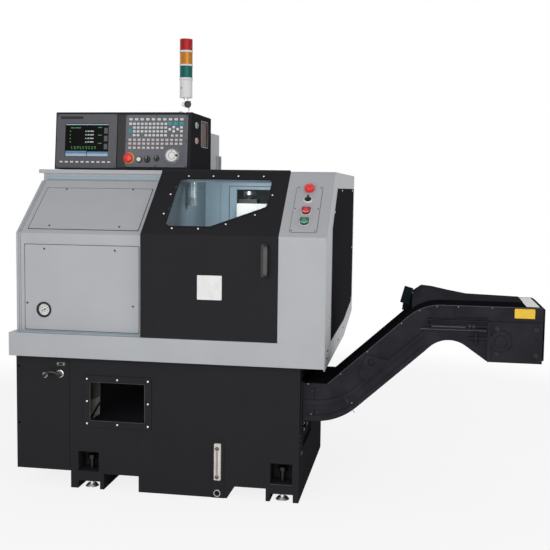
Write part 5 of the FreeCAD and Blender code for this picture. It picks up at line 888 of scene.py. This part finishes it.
class LATHE_OT_cover(bpy.types.Operator):
    """Make the seams and screws of the two panels in the left cover, and the folds at its left edge"""

    bl_idname = "lathe.cover"
    bl_label = "Cover details"

    def execute(self, context):
        sizes = context.scene.lathe_sizes
        seams = Piece("panel_seams", "seam shadow")
        seams.border(COVER_FRONT.at(-964, 886.5, -2), 518, 373, 2.5, sizes.seam, 2.1)
        seams.border(COVER_SLOPE.at(-966, 165.5), 500, 275, 2.5, sizes.seam, 2.1)
        seams.done()
        folds = Piece("cover_folds", "fold shadow")
        for x in (-1251.6, -1243.4):
            folds.plate(rounded(1.6, 446, 0.6, 2), COVER_FRONT.at(x, 898, -2), 0.5, 0.1)
            folds.plate(rounded(1.6, 350, 0.6, 2), COVER_SLOPE.at(x, 178), 0.5, 0.1)
        folds.done()
        rows_of_screws("lower_panel_screws", "dark screw", COVER_FRONT,
                       ((-1133, 1055), (-812, 1054), (-1213, 816), (-731, 815)), sizes.panel_screw)
        places = ((-1122, 1312), (-806, 1314), (-1125, 1153), (-805, 1153))
        rows_of_screws("upper_panel_screws", "dark screw", COVER_SLOPE,
                       [(x, up_slope(z, COVER_CREASE_Z)) for x, z in places], sizes.panel_screw, 2)
        return {"FINISHED"}


class LATHE_OT_dial(bpy.types.Operator):
    """Make the pressure gauge's dial marks, pointer and rim"""

    bl_idname = "lathe.dial"
    bl_label = "Pressure gauge"

    def execute(self, context):
        centre = facing_front(-1136.5, 14, 788)
        marks = Piece("dial_marks", "gauge mark")
        for i in range(13):
            angle = math.radians(-45 + 270 * i / 12)
            out = 20.5 if i % 3 else 18
            at = centre.at(*around(angle, out), 0, angle)
            marks.plate(rounded(2 * (23 - out), 1, 0.4, 2), at, 0.4, 0.1)
        pointer = math.radians(205)
        marks.plate(softened(((-14, -1.8), (13, -0.8), (13, 0.8), (-14, 1.8)), 0.3, 2),
                    centre.at(*around(pointer, 6), 0.8, pointer), 0.7, 0.2)
        for i in range(5):
            marks.plate(rounded(4.6, 3, 0.6, 2), centre.at(*around(math.radians(-20 + 55 * i), 13)), 0.3, 0.1)
        marks.plate(rounded(9, 2.2, 0.6, 2), centre.at(0, -9), 0.3, 0.1)
        marks.turned(((3.2, 0), (3.2, 2), (2.4, 2.6)), centre.at())
        marks.done()
        profile = ((34.4, 4), (34.4, 8.4), (33, 9.4), (27.6, 9.4), (25.6, 8), (25.6, 0.4), (26.4, 0.4),
                   (26.4, 4))
        Piece("dial_rim", "black plastic").turned(profile, centre.at(lift=4), 40, True).done()
        return {"FINISHED"}


class LATHE_OT_switches(bpy.types.Operator):
    """Make the switch plate's screws and seam, the rings and marks of its stop, selector and buttons, and
    painted glints on the buttons' housings
    """

    bl_idname = "lathe.switches"
    bl_label = "Switch plate"

    def execute(self, context):
        sizes = context.scene.lathe_sizes
        middle = 3
        Piece("switch_seam", "seam shadow").border(
            SLOPE.at(middle, 175.5), 112, 291, 8, sizes.seam * 0.8, 0.5).done()
        rows_of_screws("switch_screws", "dark screw", SLOPE,
                       [(middle + x, y) for x in (-49, 49) for y in (38, 175, 313)], sizes.small_screw, 2.5)

        rings = Piece("switch_rings", "white plastic")
        glints = Piece("switch_glints", "painted glint")
        side, lip, foot = shield(19), shield(17.8, 3.6), shield(21.5)
        inner, sunk, bore = round_in(side, 12.7), round_in(side, 15.1), round_in(foot, 17.4)
        bearings = [math.radians(202 + 11.3 * i) for i in range(13)]
        crescent = [around(turn, 16.9) for turn in bearings]
        crescent += [around(turn, 14.2) for turn in reversed(bearings)]
        buttons = (("red", 155), ("green", 88))
        for colour, up in buttons:
            at = SLOPE.at(middle, up, 2.5)
            Piece(f"{colour}_housing", f"deep {colour}").stacked((
                (side, 0), (side, 12.8), (lip, 14), (round_in(side, 14), 14), (inner, 12.8), (inner, 5.1),
                (sunk, 5.1), (sunk, 0)), at, True).done()
            rings.stacked(((foot, 0), (foot, 1), (shield(21), 1.5), (bore, 1.5), (bore, 0)), at, True)
            # pale crescents on the lower part of each housing's rim: painted highlights
            glints.plate(crescent, SLOPE.at(middle, up, 16.4), 0.7, 0.2)
        glints.done()
        rings.turned(((19.5, 0), (19.5, 5.4), (18.4, 6.6), (15.6, 6.6), (15.6, 0)),
                     SLOPE.at(middle, 231, 2.5), 40, True)
        rings.done()

        mark = Piece("selector_mark", "white plastic", "column_selector")
        mark.plate(rounded(2.4, 9, 1, 2), SLOPE.at(middle, 239, 18), 0.7, 0.2).done()
        for colour, up in buttons:
            cap = Piece(f"{colour}_cap", f"{colour} plastic", f"{colour}_button")
            cap.turned(((11.5, 0), (11.5, 4.8), (10.4, 6), (7, 5.5), (1, 5.3)),
                       SLOPE.at(middle, up, 11.7), 32).done()
        dome = Piece("stop_dome", "red plastic", "column_stop")
        dome.turned(((19.6, 0), (21.8, 0.8), (22.6, 3.4), (22.6, 10.4), (21, 14.4), (16.6, 17.4), (9, 19.2),
                     (1, 19.6)), SLOPE.at(middle, 299, 6.9), 40).done()
        return {"FINISHED"}


class LATHE_OT_sides(bpy.types.Operator):
    """Make the screws of the right side wall, of the belt's end and of the base's right side"""

    bl_idname = "lathe.sides"
    bl_label = "Side screws"

    def execute(self, context):
        sizes = context.scene.lathe_sizes
        rows_of_screws("side_wall_screws", "bright screw", RIGHT_SIDE,
                       ((615, 1324), (1249, 1322), (272, 1229), (1273, 1010), (1283, 726), (157, 779),
                        (46, 779)), sizes.panel_screw, 2)
        rows_of_screws("belt_screws", "dark screw", RIGHT_SIDE,
                       ((40, 620), (62, 648), (560, 612), (820, 632)), sizes.panel_screw * 1.1)
        rows_of_screws("base_side_bolts", "black steel", BASE_SIDE,
                       ((230, 551), (600, 551), (780, 300), (60, 200)), sizes.casing_bolt, 0, hex_bolt)
        rows_of_screws("base_edge_bolts", "black plastic", BASE_SIDE,
                       ((15, 288), (17, 268), (19, 246)), sizes.small_screw)
        return {"FINISHED"}


class LATHE_OT_base(bpy.types.Operator):
    """Make the inspection window's screws, sheet and painted highlight round its frame, the plate by the air
    fittings, and the level gauge
    """

    bl_idname = "lathe.base"
    bl_label = "Base details"

    def execute(self, context):
        sizes = context.scene.lathe_sizes
        x, z = -799, 393
        places = [(x + across, z + up) for across in (-138, 0, 138) for up in (-99, 0, 99) if across or up]
        rows_of_screws("inspection_screws", "bright screw", BASE_FRONT, places, sizes.frame_screw, 5)
        # a pale band round the inspection frame and a brighter bar on its right edge: painted highlight
        edge = Piece("inspection_edge", "edge highlight")
        edge.border(BASE_FRONT.at(x, z), 246.6, 169.6, 6, 1.2, 5.5)
        edge.plate(rounded(1.8, 158, 0.6, 2), BASE_FRONT.at(x + 123.4, z, 5), 0.8, 0.2)
        edge.done()

        inner = facing_front(0, 60, 0)
        Piece("inner_sheet", "inner sheet").plate(rounded(46, 96, 3), inner.at(-923, 420, -2), 2, 0.4).done()
        stay = Piece("inner_stay", "buff plate")
        for corners in (((-945, 312), (-916, 357), (-903, 381), (-903, 400), (-946, 379)),
                        ((-940, 296), (-902, 321), (-902, 366), (-912, 346))):
            stay.moulding(softened(corners, 1), ((0, 0), (0, 3)), inner.at())
        stay.done()

        at = BASE_FRONT.at(-1058, 551)
        Piece("base_plate", "black plastic").plate(rounded(35, 12, 1.5), at, 0.8, 0.3).done()
        Piece("base_plate_border", "wheel grey").border(at, 35, 12, 1.5, 0.9, 1).done()
        rows_of_screws("base_plate_screws", "bright screw", BASE_FRONT, ((-1071, 551), (-1045, 551)),
                       2.4, 0.8)
        joint = Piece("side_box_joint", "casing seam")
        joint.plate(rounded(2.2, 480, 0.8, 2), BASE_FRONT.at(-1019.5, 330), 0.4, 0.1).done()
        # a pale line on the recess's shelf edge: painted highlight
        shelf = Piece("recess_shelf", "edge highlight")
        shelf.plate(rounded(96, 1.6, 0.6, 2), BASE_FRONT.at(-75, 75), 0.6, 0.2).done()

        gauge = facing_front(-350.5, -2.5, 0)
        drain = gauge.at(0, 23.5)
        Piece("drain_ring", "bright screw").turned(
            ((15.4, 0), (15.4, 9.2), (14.6, 10.4), (12.6, 10.4), (12, 9.4), (12, 0)), drain, 36, True).done()
        Piece("drain_plug", "black plastic").turned(
            ((11.6, 0), (11.6, 9.6), (10.6, 10.4), (7, 9.6), (7, 0)), drain, 36, True).done()
        body = Piece("level_glass", "gauge body").moulding(
            rounded(30, 161, 5), ((0, 0), (0, 7.6), (1.4, 9), (4.4, 9.2)), gauge.at(0, 159.5))
        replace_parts(body.done(), "level_gauge")
        Piece("level_strip", "gauge strip").plate(rounded(9, 102, 2), gauge.at(-1.5, 156, 9), 0.6, 0.2).done()
        blocks = Piece("level_blocks", "gauge face")
        for i in range(8):
            blocks.plate(rounded(6.4, 8.4, 1, 2), gauge.at(8, 116 + 11.6 * i, 9), 1, 0.3)
        blocks.done()
        rows_of_screws("gauge_screws", "gauge screw", gauge, ((-1.5, 94), (-1.5, 218)), 8.6, 8.6)

        start, end = place(-1131, -18, 499), place(-1061, -18, 508)
        points = []
        for i in range(13):
            bow = math.sin(math.pi * i / 12) * MM
            points.append(start.lerp(end, i / 12) + Vector((0, -10, 16)) * bow)
        Piece("air_link", "dark screw").tube(points, 5).done()
        caps = Piece("air_caps", "black plastic", slot="brass")
        for x, z, radius in ((-1131, 499, 8), (-1061, 508, 13)):
            caps.turned(((radius, 0), (radius, 5), (radius * 0.8, 6.4)), facing_front(x, -13.8, z).at(), 24)
        caps.done()
        return {"FINISHED"}


# The control box on the roof

def bars(piece, rows):
    """Flat bars on the screen: each row gives a left end, a right end, a low and a high edge."""
    for left, right, low, high in rows:
        at = CONTROL_FACE.at((left + right) / 2, (low + high) / 2, 3.8)
        piece.plate(rounded(right - left, high - low, 0.3, 2), at, 0.3, 0.1)
    return piece


class LATHE_OT_screen(bpy.types.Operator):
    """Make the screen's glass, a picture of plain bars, the dark strips beside it and the soft keys"""

    bl_idname = "lathe.screen"
    bl_label = "Screen"

    def execute(self, context):
        glass = Piece("screen_glass", "screen glass")
        glass.plate(rounded(215.4, 156.4, 1), CONTROL_FACE.at(-1095, 138.5, 3), 0.8, 0.2).done()

        pale = Piece("screen_pale_bars", "screen pale")
        green = Piece("screen_green_bars", "screen green")
        bars(green, ((-1177, -1160, 195, 199), (-1157, -1126, 195, 199)))
        for up in (178, 161, 144, 127):
            bars(green, ((-1181, -1176, up, up + 5),))
            bars(pale, ((-1104, -1097, up, up + 5), (-1093, -1083, up, up + 6), (-1080, -1062, up, up + 6)))
        for up in (197, 161, 122):
            bars(green, ((-1040, -1021, up, up + 3.4),))
        for i in range(9):
            left = -1174 + 14.4 * i
            bars(green, ((left, left + 6 + 2 * (i % 3), 104, 108),
                         (left + 2, left + 7 + 2 * (i % 2), 96, 99.5)))
        green.done()
        pale.done()
        for name, finish, rows in (
                ("title_band", "blue", ((-1201, -989, 210.5, 215),)),
                ("icons", "grey", ((-1010, -993, 170, 197), (-1010, -993, 133, 160), (-1010, -993, 95, 121))),
                ("dark_band", "teal", ((-1201, -1096, 76, 87), (-1093, -989, 76, 84))),
                ("light_band", "blue", ((-1201, -1096, 62, 75), (-1093, -989, 62, 75)))):
            bars(Piece(f"screen_{name}", f"screen {finish}"), rows).done()

        strips = Piece("module_strips", "black plastic")
        strips.plate(rounded(112, 12, 1), CONTROL_FACE.at(-1171, 245, 7), 0.5, 0.2)
        strips.plate(rounded(41, 250, 1), CONTROL_FACE.at(-924.5, 135), 1, 0.3)
        strips.done()
        keys = Piece("soft_keys", "plain key")
        for i in range(10):
            keys.moulding(rounded(15.4, 7.4, 1.2, 2), ((0, 0), (0, 0.8), (0.7, 1.3)),
                          CONTROL_FACE.at(-1219 + 238 * i / 9, 34, 8.6))
        keys.done()
        rows_of_screws("screen_screws", "dark screw", CONTROL_FACE,
                       [(x, y) for x in (-1240, -952) for y in (12, 134, 256)], 2.8, 7)
        return {"FINISHED"}


# Columns and rows of keys, in millimetres across and up the control face
WIDE_KEYS = [-878.4 + 27.5 * i for i in range(10)]
SMALL_KEYS = [-860.5 + 19.1 * i for i in range(9)]
EVEN_KEYS = [-880.2 + 22.5 * i for i in range(12)]
SMALL_ROWS = (216, 198.2, 180.4)
EVEN_ROWS = (140.6, 122.6)


class LATHE_OT_keys(bpy.types.Operator):
    """Make the key panel: its bezel with a sunk field, plain and coloured keys, round keys and their marks"""

    bl_idname = "lathe.keys"
    bl_label = "Key panel"

    def key(self, piece, x, up, width=12.6, height=10.4):
        """A dished key; the wider and the longer ones have the same edge."""
        piece.moulding(rounded(width, height, 1.8, 2), ((0, 0), (0, 2.3), (0.7, 3), (1.5, 2.8)),
                       CONTROL_FACE.at(x, up, 6.5))

    def mark(self, piece, x, up, width, height=1.4):
        """A plain bar on a key."""
        piece.plate(rounded(width, height, 0.4, 1), CONTROL_FACE.at(x, up, 9.1), 0.2, 0.05)

    def execute(self, context):
        steps = ((0, 5, 0), (0, 5, 6.2), (0.8, 4.4, 7), (10, 3, 7), (11, 2.4, 6.5))
        levels = [(rounded(302 - 2 * band, 247 - 2 * band, corner), height) for band, corner, height in steps]
        panel = Piece("key_bezel", "key bezel").stacked(levels, CONTROL_FACE.at(-752, 135.5))
        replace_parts(panel.done(), "key_panel")

        plain = Piece("plain_keys", "plain key")
        warm = Piece("warm_keys", "warm key")
        coloured = Piece("coloured_keys", "coloured key")
        for x in WIDE_KEYS:
            self.key(plain, x, 237, 15.6)
        self.key(plain, -879.3, 216, 14.6, 11.4)
        for i, x in enumerate(SMALL_KEYS):
            for up in SMALL_ROWS:
                self.key(plain, x, up)
            if i != 2:
                self.key(plain, x, 162)
        for x in (-685.9, -658.2, -631):
            self.key(coloured, x, 216.8, 21, 17)
        self.key(coloured, -879.6, 182, 16.4, 20)
        for x, up in ((-669, 200.5), (-688, 190.4), (-650, 191), (-668.7, 181)):
            plain.turned(((6.6, 0), (6.6, 2.2), (5.7, 3), (3.6, 2.7)), CONTROL_FACE.at(x, up, 6.5), 24)
        for up in (199.4, 181.6):
            self.key(plain, -631.5, up)
        for x in (-675, -653.5, -631.5):
            self.key(warm, x, 161)
        for x in EVEN_KEYS:
            for up in EVEN_ROWS:
                self.key(warm, x, up, 13.4)
        for x in EVEN_KEYS[:8]:
            self.key(warm, x, 103, 13.4)
        for piece in (plain, warm, coloured):
            piece.done()

        dark = Piece("key_marks", "gauge mark")
        red = Piece("warm_key_marks", "red plastic")
        for i, x in enumerate(SMALL_KEYS):
            for row, up in enumerate(SMALL_ROWS):
                self.mark(dark, x, up, 3 + (i * 3 + row) % 4, 1.5)
        for i, x in enumerate(WIDE_KEYS):
            self.mark(dark, x, 237, 5 + i % 3, 1.6)
        for i, x in enumerate(EVEN_KEYS):
            for row, up in enumerate(EVEN_ROWS):
                self.mark(dark if (i + row) % 3 else red, x, up, 4 + (i + row) % 3)
        dark.done()
        red.done()
        places = [(x, y) for x in (-897, -752, -607) for y in (18, 253)] + [(-897, 135.5), (-607, 135.5)]
        rows_of_screws("key_panel_screws", "dark screw", CONTROL_FACE, places, 3.4, 7)
        return {"FINISHED"}


class LATHE_OT_controls(bpy.types.Operator):
    """Make the rings and marks of the controls under the keys and on the box's right side"""

    bl_idname = "lathe.controls"
    bl_label = "Controls"

    def execute(self, context):
        stop, knob, selector, wheel = (-883, 53.5), (-794, 49), (-748, 53), (-672, 66)
        Piece("stop_ring", "yellow plastic").turned(
            ((27, 0), (27, 1.6), (25.8, 2.4), (8, 2.4), (8, 0)), CONTROL_FACE.at(*stop, 7), 40, True).done()
        profile = ((18.4, -1.2), (22, -0.6), (23, 1.4), (23, 6.4), (20.4, 9.8), (14.6, 12.2), (6.6, 13.4),
                   (1, 13.6))
        dome = Piece("control_stop_dome", "red plastic", "control_stop")
        dome.turned(profile, CONTROL_FACE.at(*stop, 14.9), 40).done()

        rings = Piece("control_rings", "black plastic")
        rings.turned(((14, 0), (14, 5.2), (13, 5.8), (10.4, 5.4), (10.4, 0)),
                     CONTROL_FACE.at(-832.5, 47.5, 7), 36, True)
        for spot, radius in ((knob, 17), (selector, 15)):
            rings.turned(((radius, 0), (radius, 0.2), (7.5, 0.25), (7.5, 0)),
                         CONTROL_FACE.at(*spot, 7), 36, True)
        rings.done()
        for name, body, (x, y), reach, height in (
                ("knob_mark", "control_knob", knob, 6.6, 22.6),
                ("control_selector_mark", "control_selector", selector, 5, 19)):
            mark = Piece(name, "white plastic", body)
            mark.plate(rounded(2.2, 8.4, 0.9, 2), CONTROL_FACE.at(x, y + reach, height), 0.7, 0.2).done()

        x, y = wheel
        ring = Piece("handwheel_ring", "wheel grey", "handwheel")
        face = CONTROL_FACE.at(x, y, 19.3)
        ring.turned(((30.6, -5), (31.4, -3), (30.4, 0), (29, 0.6), (26.6, 0.6), (26, -0.4)), face, 60, True)
        ring.turned(((17.5, -3), (17.5, -2.2), (15, -2.2), (15, -3)), face, 60, True)
        ring.done()
        marker = Piece("handwheel_marker", "black plastic", "handwheel")
        marker.turned(((5.2, 0), (5.2, 8), (4.2, 9.6), (1, 9.9)), CONTROL_FACE.at(x + 24, y, 19.3), 24)
        marker.plate(rounded(2.4, 7, 1, 2), CONTROL_FACE.at(x, y + 22, 19.3), 0.5, 0.2)
        marker.done()
        scale = Piece("handwheel_scale", "white plastic")
        for i in range(36):
            angle = math.radians(10 * i)
            out = around(angle, 36)
            scale.plate(rounded(3.6 if i % 3 else 5.6, 0.9, 0.3, 1),
                        CONTROL_FACE.at(x + out.x, y + out.y, 7, angle), 0.3, 0.1)
        scale.done()

        rings = Piece("side_rings", "white plastic")
        for z in (1624, 1551):
            rings.turned(((14.6, 0), (14.6, 4.6), (13.2, 5.6), (10.6, 5.4), (10.6, 0)),
                         BOX_SIDE.at(509, z), 36, True)
        rings.done()
        Piece("recess_frame", "wheel grey").border(BOX_SIDE.at(674.5, 1590), 130, 123, 1.5, 2.6, 1.2).done()
        back = Piece("recess_back", "recess back")
        back.plate(rounded(128, 121, 2), BOX_SIDE.at(674.5, 1590, -6), 1.5, 0.4).done()
        return {"FINISHED"}


class LATHE_OT_tower(bpy.types.Operator):
    """Make the seams between the tower's lenses, its small mark and its lock lever"""

    bl_idname = "lathe.tower"
    bl_label = "Signal tower"

    def execute(self, context):
        axis = Surface((*TOWER_AXIS, 0), RIGHTWARD, BACKWARD)
        seams = Piece("tower_seams", "seam shadow", "tower")
        for level in (1833, 1844, 1898, 1906, 1961, 1970):
            seams.turned(((29.6, -0.6), (30.4, -0.6), (30.4, 0.6), (29.6, 0.6)), axis.at(lift=level),
                         48, True)
        seams.done()
        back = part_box("lock_knob")[1].y
        pivot = facing_front(TOWER_AXIS[0], (back - CORNER.y) / MM, 1719)
        lever = Piece("lock_lever", "white plastic", "lock_knob")
        lever.turned(((15.5, -1), (16, 0), (16, 5.6), (14.6, 7), (1, 7.2)), pivot.at(), 36)
        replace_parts(lever.done(), "lock_knob")
        grip = Piece("lock_grip", "black plastic", "lock_knob")
        grip.turned(((14.4, 5), (16.6, 6.2), (16.6, 10.6), (15, 12.4), (9, 13.4), (8, 12.4), (1, 12.4)),
                    pivot.at(14.5), 36)
        grip.plate(rounded(7, 6, 1.6, 3), pivot.at(26, 12, 6.4, math.radians(45)), 4, 0.8)
        grip.done()
        facing = math.radians(-118)
        side = Surface((*TOWER_AXIS, 1795), (-math.sin(facing), math.cos(facing), 0), UPWARD)
        mark = Piece("tower_mark", "gauge mark", "tower")
        mark.plate(rounded(5, 9, 0.8, 2), side.at(lift=29.8), 0.5, 0.1).done()
        return {"FINISHED"}


# The chip conveyor: its incline, the bend over it and the level head
TILT = math.radians(42.2)
TOP_BEND = 199
TOP_CREASE = Vector((111.8, 513))
HEAD_LEVEL = 863
HEAD_END = 978


def casing_top():
    """Points along the casing's top edge: up the incline, round the bend and along the head."""
    start_z = HEAD_LEVEL - TOP_BEND * (1 - math.cos(TILT))
    start_x = TOP_CREASE.x + (start_z - TOP_CREASE.y) / math.tan(TILT)
    centre = Vector((start_x + TOP_BEND * math.sin(TILT), HEAD_LEVEL - TOP_BEND))
    incline = [TOP_CREASE.lerp(Vector((start_x, start_z)), i / 12) for i in range(12)]
    bend = [centre + around(math.pi / 2 + TILT * (1 - i / 8), TOP_BEND) for i in range(9)]
    level = [Vector((centre.x + (HEAD_END - centre.x) * i / 12, HEAD_LEVEL)) for i in range(1, 13)]
    return incline + bend + level


class LATHE_OT_conveyor(bpy.types.Operator):
    """Make the conveyor's bolts, seams, painted highlights on its edges and joints, blank plates, tension
    rods and the terminal box's neck
    """

    bl_idname = "lathe.conveyor"
    bl_label = "Conveyor details"

    def execute(self, context):
        bolt = context.scene.lathe_sizes.casing_bolt
        rows_of_screws("drive_bolts", "black plastic", facing_front(0, 19.4, 0),
                       ((800, 672), (952, 672), (800, 775), (952, 775)), bolt * 1.25, 0, hex_bolt)
        rows_of_screws("flange_bolts", "black plastic", facing_right(8.3),
                       [(y, z) for y in (60, 160, 260, 360) for z in (306, 334)], bolt, 0, hex_bolt)
        rows_of_screws("seam_bolts", "black steel", TROUGH_SIDE,
                       ((48, 385), (48, 430), (48, 480), (72, 390), (72, 435), (72, 486)), bolt * 0.7)

        seams = Piece("casing_seams", "casing seam")
        for x, z, width, height in ((59, 440, 1.8, 120), (627, 840, 1.8, 46), (695, 816, 136, 1.8)):
            seams.plate(rounded(width, height, 0.8, 2), TROUGH_SIDE.at(x, z), 0.8, 0.2)
        seams.done()
        # pale strips along the casing's two joints: painted highlights
        for name, x, z, length in (("upper_joint", 196, 447, 21), ("lower_joint", 222, 407, 24)):
            at = TROUGH_SIDE.at(x, z, 5.6, math.radians(36))
            Piece(name, "casing edge").plate(rounded(2.2, length, 0.8, 2), at, 0.6, 0.2).done()

        line = casing_top()
        # a pale line along the casing's top edge: painted highlight
        Piece("casing_edge", "casing edge").tube([place(x, 29.4, z) for x, z in line], 1.5, 6).done()
        bolts = Piece("casing_bolts", "dull screw")
        for share in (0.06, 0.2, 0.34, 0.47, 0.58, 0.69, 0.8, 0.93):
            x, z = line[round(share * (len(line) - 1))]
            bolts.turned(((2.8, 0), (2.8, 1.6), (2, 2.4)), TROUGH_SIDE.at(x, z - 5), 12)
        for x, z in ((31, 509), (216, 437), (44, 380), (279, 590)):
            bolts.turned(((3, 0), (3, 1.4), (2, 2)), TROUGH_SIDE.at(x, z), 12)
        for x in (800, 826):
            bolts.turned(((3, 0), (3, 0.8), (2, 1.3)), facing_front(x, 18, 725).at(), 12)
        bolts.done()

        plate = Piece("side_plate", "yellow plate")
        plate.plate(rounded(80, 39, 4), TROUGH_SIDE.at(905, 839), 0.6, 0.2).done()
        head_top = Surface((0, 0, HEAD_LEVEL), RIGHTWARD, BACKWARD)
        Piece("top_plate", "blank plate").plate(rounded(52, 318, 2), head_top.at(941, 222), 0.6, 0.2).done()
        rod = Piece("tension_rod", "casing edge")
        for x in (684, 700):
            rod.turned(((9.8, -0.6, 6), (9.8, 9.4, 6), (8, 9.6)), facing_right(x, 20, 781).at(), 24)
        rod.tube([place(x, 17, 777) for x in (536, 600, 672)], 3.4)
        rod.tube([place(x, 19, 765) for x in (490, 600, 756)], 2.4)
        rod.done()
        corners = ((408, 794), (455, 800), (455, 885), (440, 850), (414, 842))
        Piece("terminal_neck", "casing paint").moulding(
            softened(corners, 4), ((0, 0), (0, 38), (1.5, 40)), facing_front(0, 390, 0).at()).done()
        return {"FINISHED"}


class LATHE_OT_chamber(bpy.types.Operator):
    """Make the chamber's left sheet in painted shade, its screws, and the dark lines of the frame round the
    way opening
    """

    bl_idname = "lathe.chamber"
    bl_label = "Chamber details"

    def execute(self, context):
        # a sheet over the chamber's left side in the darker copy of the chamber paint: painted shade
        corners = ((1, 792), (304, 792), (304, 1350), (260.8, 1350), (1, 1131))
        sheet = Piece("chamber_side", "shaded chamber paint")
        sheet.plate([Vector(corner) for corner in corners], facing_right(-600).at(), 2).done()
        frame_front = facing_front(0, 744, 0)
        lines = Piece("chamber_folds", "seam shadow")
        lines.plate(rounded(2.6, 438, 0.8, 2), frame_front.at(-472.3, 1120), 0.8, 0.2)
        lines.plate(rounded(386, 2.6, 0.8, 2), frame_front.at(-280.6, 1338.5), 0.8, 0.2)
        lines.done()
        rows_of_screws("chamber_screws", "dull screw", facing_right(-595),
                       ((420, 1200), (640, 1200), (420, 1330), (640, 1330)), 3, 1.5)
        return {"FINISHED"}


# The stage

WHITE = (1, 1, 1)
FLOOR_REACH = 12


class LATHE_OT_stage(bpy.types.Operator):
    """Make the pale floor, the soft studio light, the white background and the camera"""

    bl_idname = "lathe.stage"
    bl_label = "Stage"

    def floor(self, colour):
        """A matt floor that the camera sees as nearly white, and white far out."""
        finish = Finish("floor", Roughness=0.9)
        finish.feed(Base_Color=finish.tint(colour, finish.noise(3, 2), 0.004, 0.004))
        white = finish.node("ShaderNodeEmission", {}, {"Color": WHITE, "Strength": 1})
        far = finish.sum("SQRT", finish.x * finish.x + finish.y * finish.y)
        pale = finish.step(far, 2.2, 3.4) * 0.16 + 0.84
        finish.show(pale * finish.seen(), finish.shader, white)
        mesh = bpy.data.meshes.new("floor")
        corners = [(FLOOR_REACH * x, FLOOR_REACH * y, 0) for x, y in ((-1, -1), (1, -1), (1, 1), (-1, 1))]
        mesh.from_pydata(corners, [], [(0, 1, 2, 3)])
        mesh.materials.append(finish.material)
        return bpy.data.objects.new("floor", mesh)

    def light(self, name, spot, aim, size, power):
        """A square light that looks at a point."""
        data = bpy.data.lights.new(name, "AREA")
        data.shape = "SQUARE"
        data.size = size
        data.energy = power
        lamp = bpy.data.objects.new(name, data)
        lamp.location = spot
        lamp.rotation_euler = (aim - spot).to_track_quat("-Z", "Y").to_euler()
        return lamp

    def camera(self):
        """The camera, in front of the machine and a little to its right."""
        lens = bpy.data.cameras.new("camera")
        lens.lens = 57.493
        lens.sensor_width = 36
        lens.shift_x = -0.0007
        lens.shift_y = -0.0259
        lens.clip_end = 60
        camera = bpy.data.objects.new("camera", lens)
        yaw, pitch, roll = -0.162501, -0.0814287, 0.0131911
        forward = Vector((math.sin(yaw) * math.cos(pitch), math.cos(yaw) * math.cos(pitch), math.sin(pitch)))
        level = Vector((math.cos(yaw), -math.sin(yaw), 0))
        upright = level.cross(forward)
        right = level * math.cos(roll) + upright * math.sin(roll)
        above = upright * math.cos(roll) - level * math.sin(roll)
        turn = Matrix((right, above, -forward)).transposed().to_4x4()
        camera.matrix_world = Matrix.Translation((0.627551, -4.269663, 1.326955)) @ turn
        return camera

    def execute(self, context):
        scene = context.scene
        stage = scene.lathe_stage
        low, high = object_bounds()
        middle = (Vector(low) + Vector(high)) / 2
        inside = place(-350, 330, 1325)
        down = inside - Vector((0.05, -0.8, 0.45))
        made = [self.floor(stage.floor),
                self.light("front_light", Vector((-0.4, -4.8, 1.9)), middle, 3.6, stage.front),
                self.light("side_light", Vector((3.6, -0.9, 2)), middle, 4.2, stage.side),
                self.light("chamber_light", inside, down, 0.12, stage.inside),
                self.camera()]
        for item in made:
            scene.collection.objects.link(item)
        scene.camera = made[-1]

        scene.world = bpy.data.worlds.new("studio")
        nodes = Nodes(scene.world)
        room, blank = (nodes.node("ShaderNodeBackground", {}, {"Color": WHITE, "Strength": strength})
                       for strength in (stage.sky, 1))
        mixed = nodes.node("ShaderNodeMixShader", {}, {0: nodes.seen(), 1: room, 2: blank})
        nodes.node("ShaderNodeOutputWorld", {}, {"Surface": mixed}, None)
        scene.view_settings.view_transform = "Standard"
        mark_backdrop(*made)
        return {"FINISHED"}


class LATHE_PT_sidebar(bpy.types.Panel):
    """Buttons for each group of pieces, with the colours and sizes they use"""

    bl_idname = "LATHE_PT_sidebar"
    bl_label = "Turning lathe"
    bl_space_type = "VIEW_3D"
    bl_region_type = "UI"
    bl_category = "Turning lathe"

    def draw(self, context):
        for maker in MAKERS:
            self.layout.operator(maker.bl_idname)
        for setting in SETTINGS:
            group = getattr(context.scene, setting)
            box = self.layout.box()
            for name in group.__annotations__:
                box.prop(group, name)


MAKERS = (LATHE_OT_finishes, LATHE_OT_door, LATHE_OT_cover, LATHE_OT_dial, LATHE_OT_switches, LATHE_OT_sides,
          LATHE_OT_base, LATHE_OT_screen, LATHE_OT_keys, LATHE_OT_controls, LATHE_OT_tower, LATHE_OT_conveyor,
          LATHE_OT_chamber, LATHE_OT_stage)
SETTINGS = {"lathe_colours": LatheColours, "lathe_sizes": LatheSizes, "lathe_stage": LatheStage}
CLASSES = (*SETTINGS.values(), *MAKERS, LATHE_PT_sidebar)


def register():
    for item in CLASSES:
        bpy.utils.register_class(item)
    for name, group in SETTINGS.items():
        setattr(bpy.types.Scene, name, bpy.props.PointerProperty(type=group))


def unregister():
    for name in SETTINGS:
        delattr(bpy.types.Scene, name)
    for item in reversed(CLASSES):
        bpy.utils.unregister_class(item)


def main():
    register()
    for maker in MAKERS:
        group, name = maker.bl_idname.split(".")
        getattr(getattr(bpy.ops, group), name)()


if __name__ == "__main__":
    main()
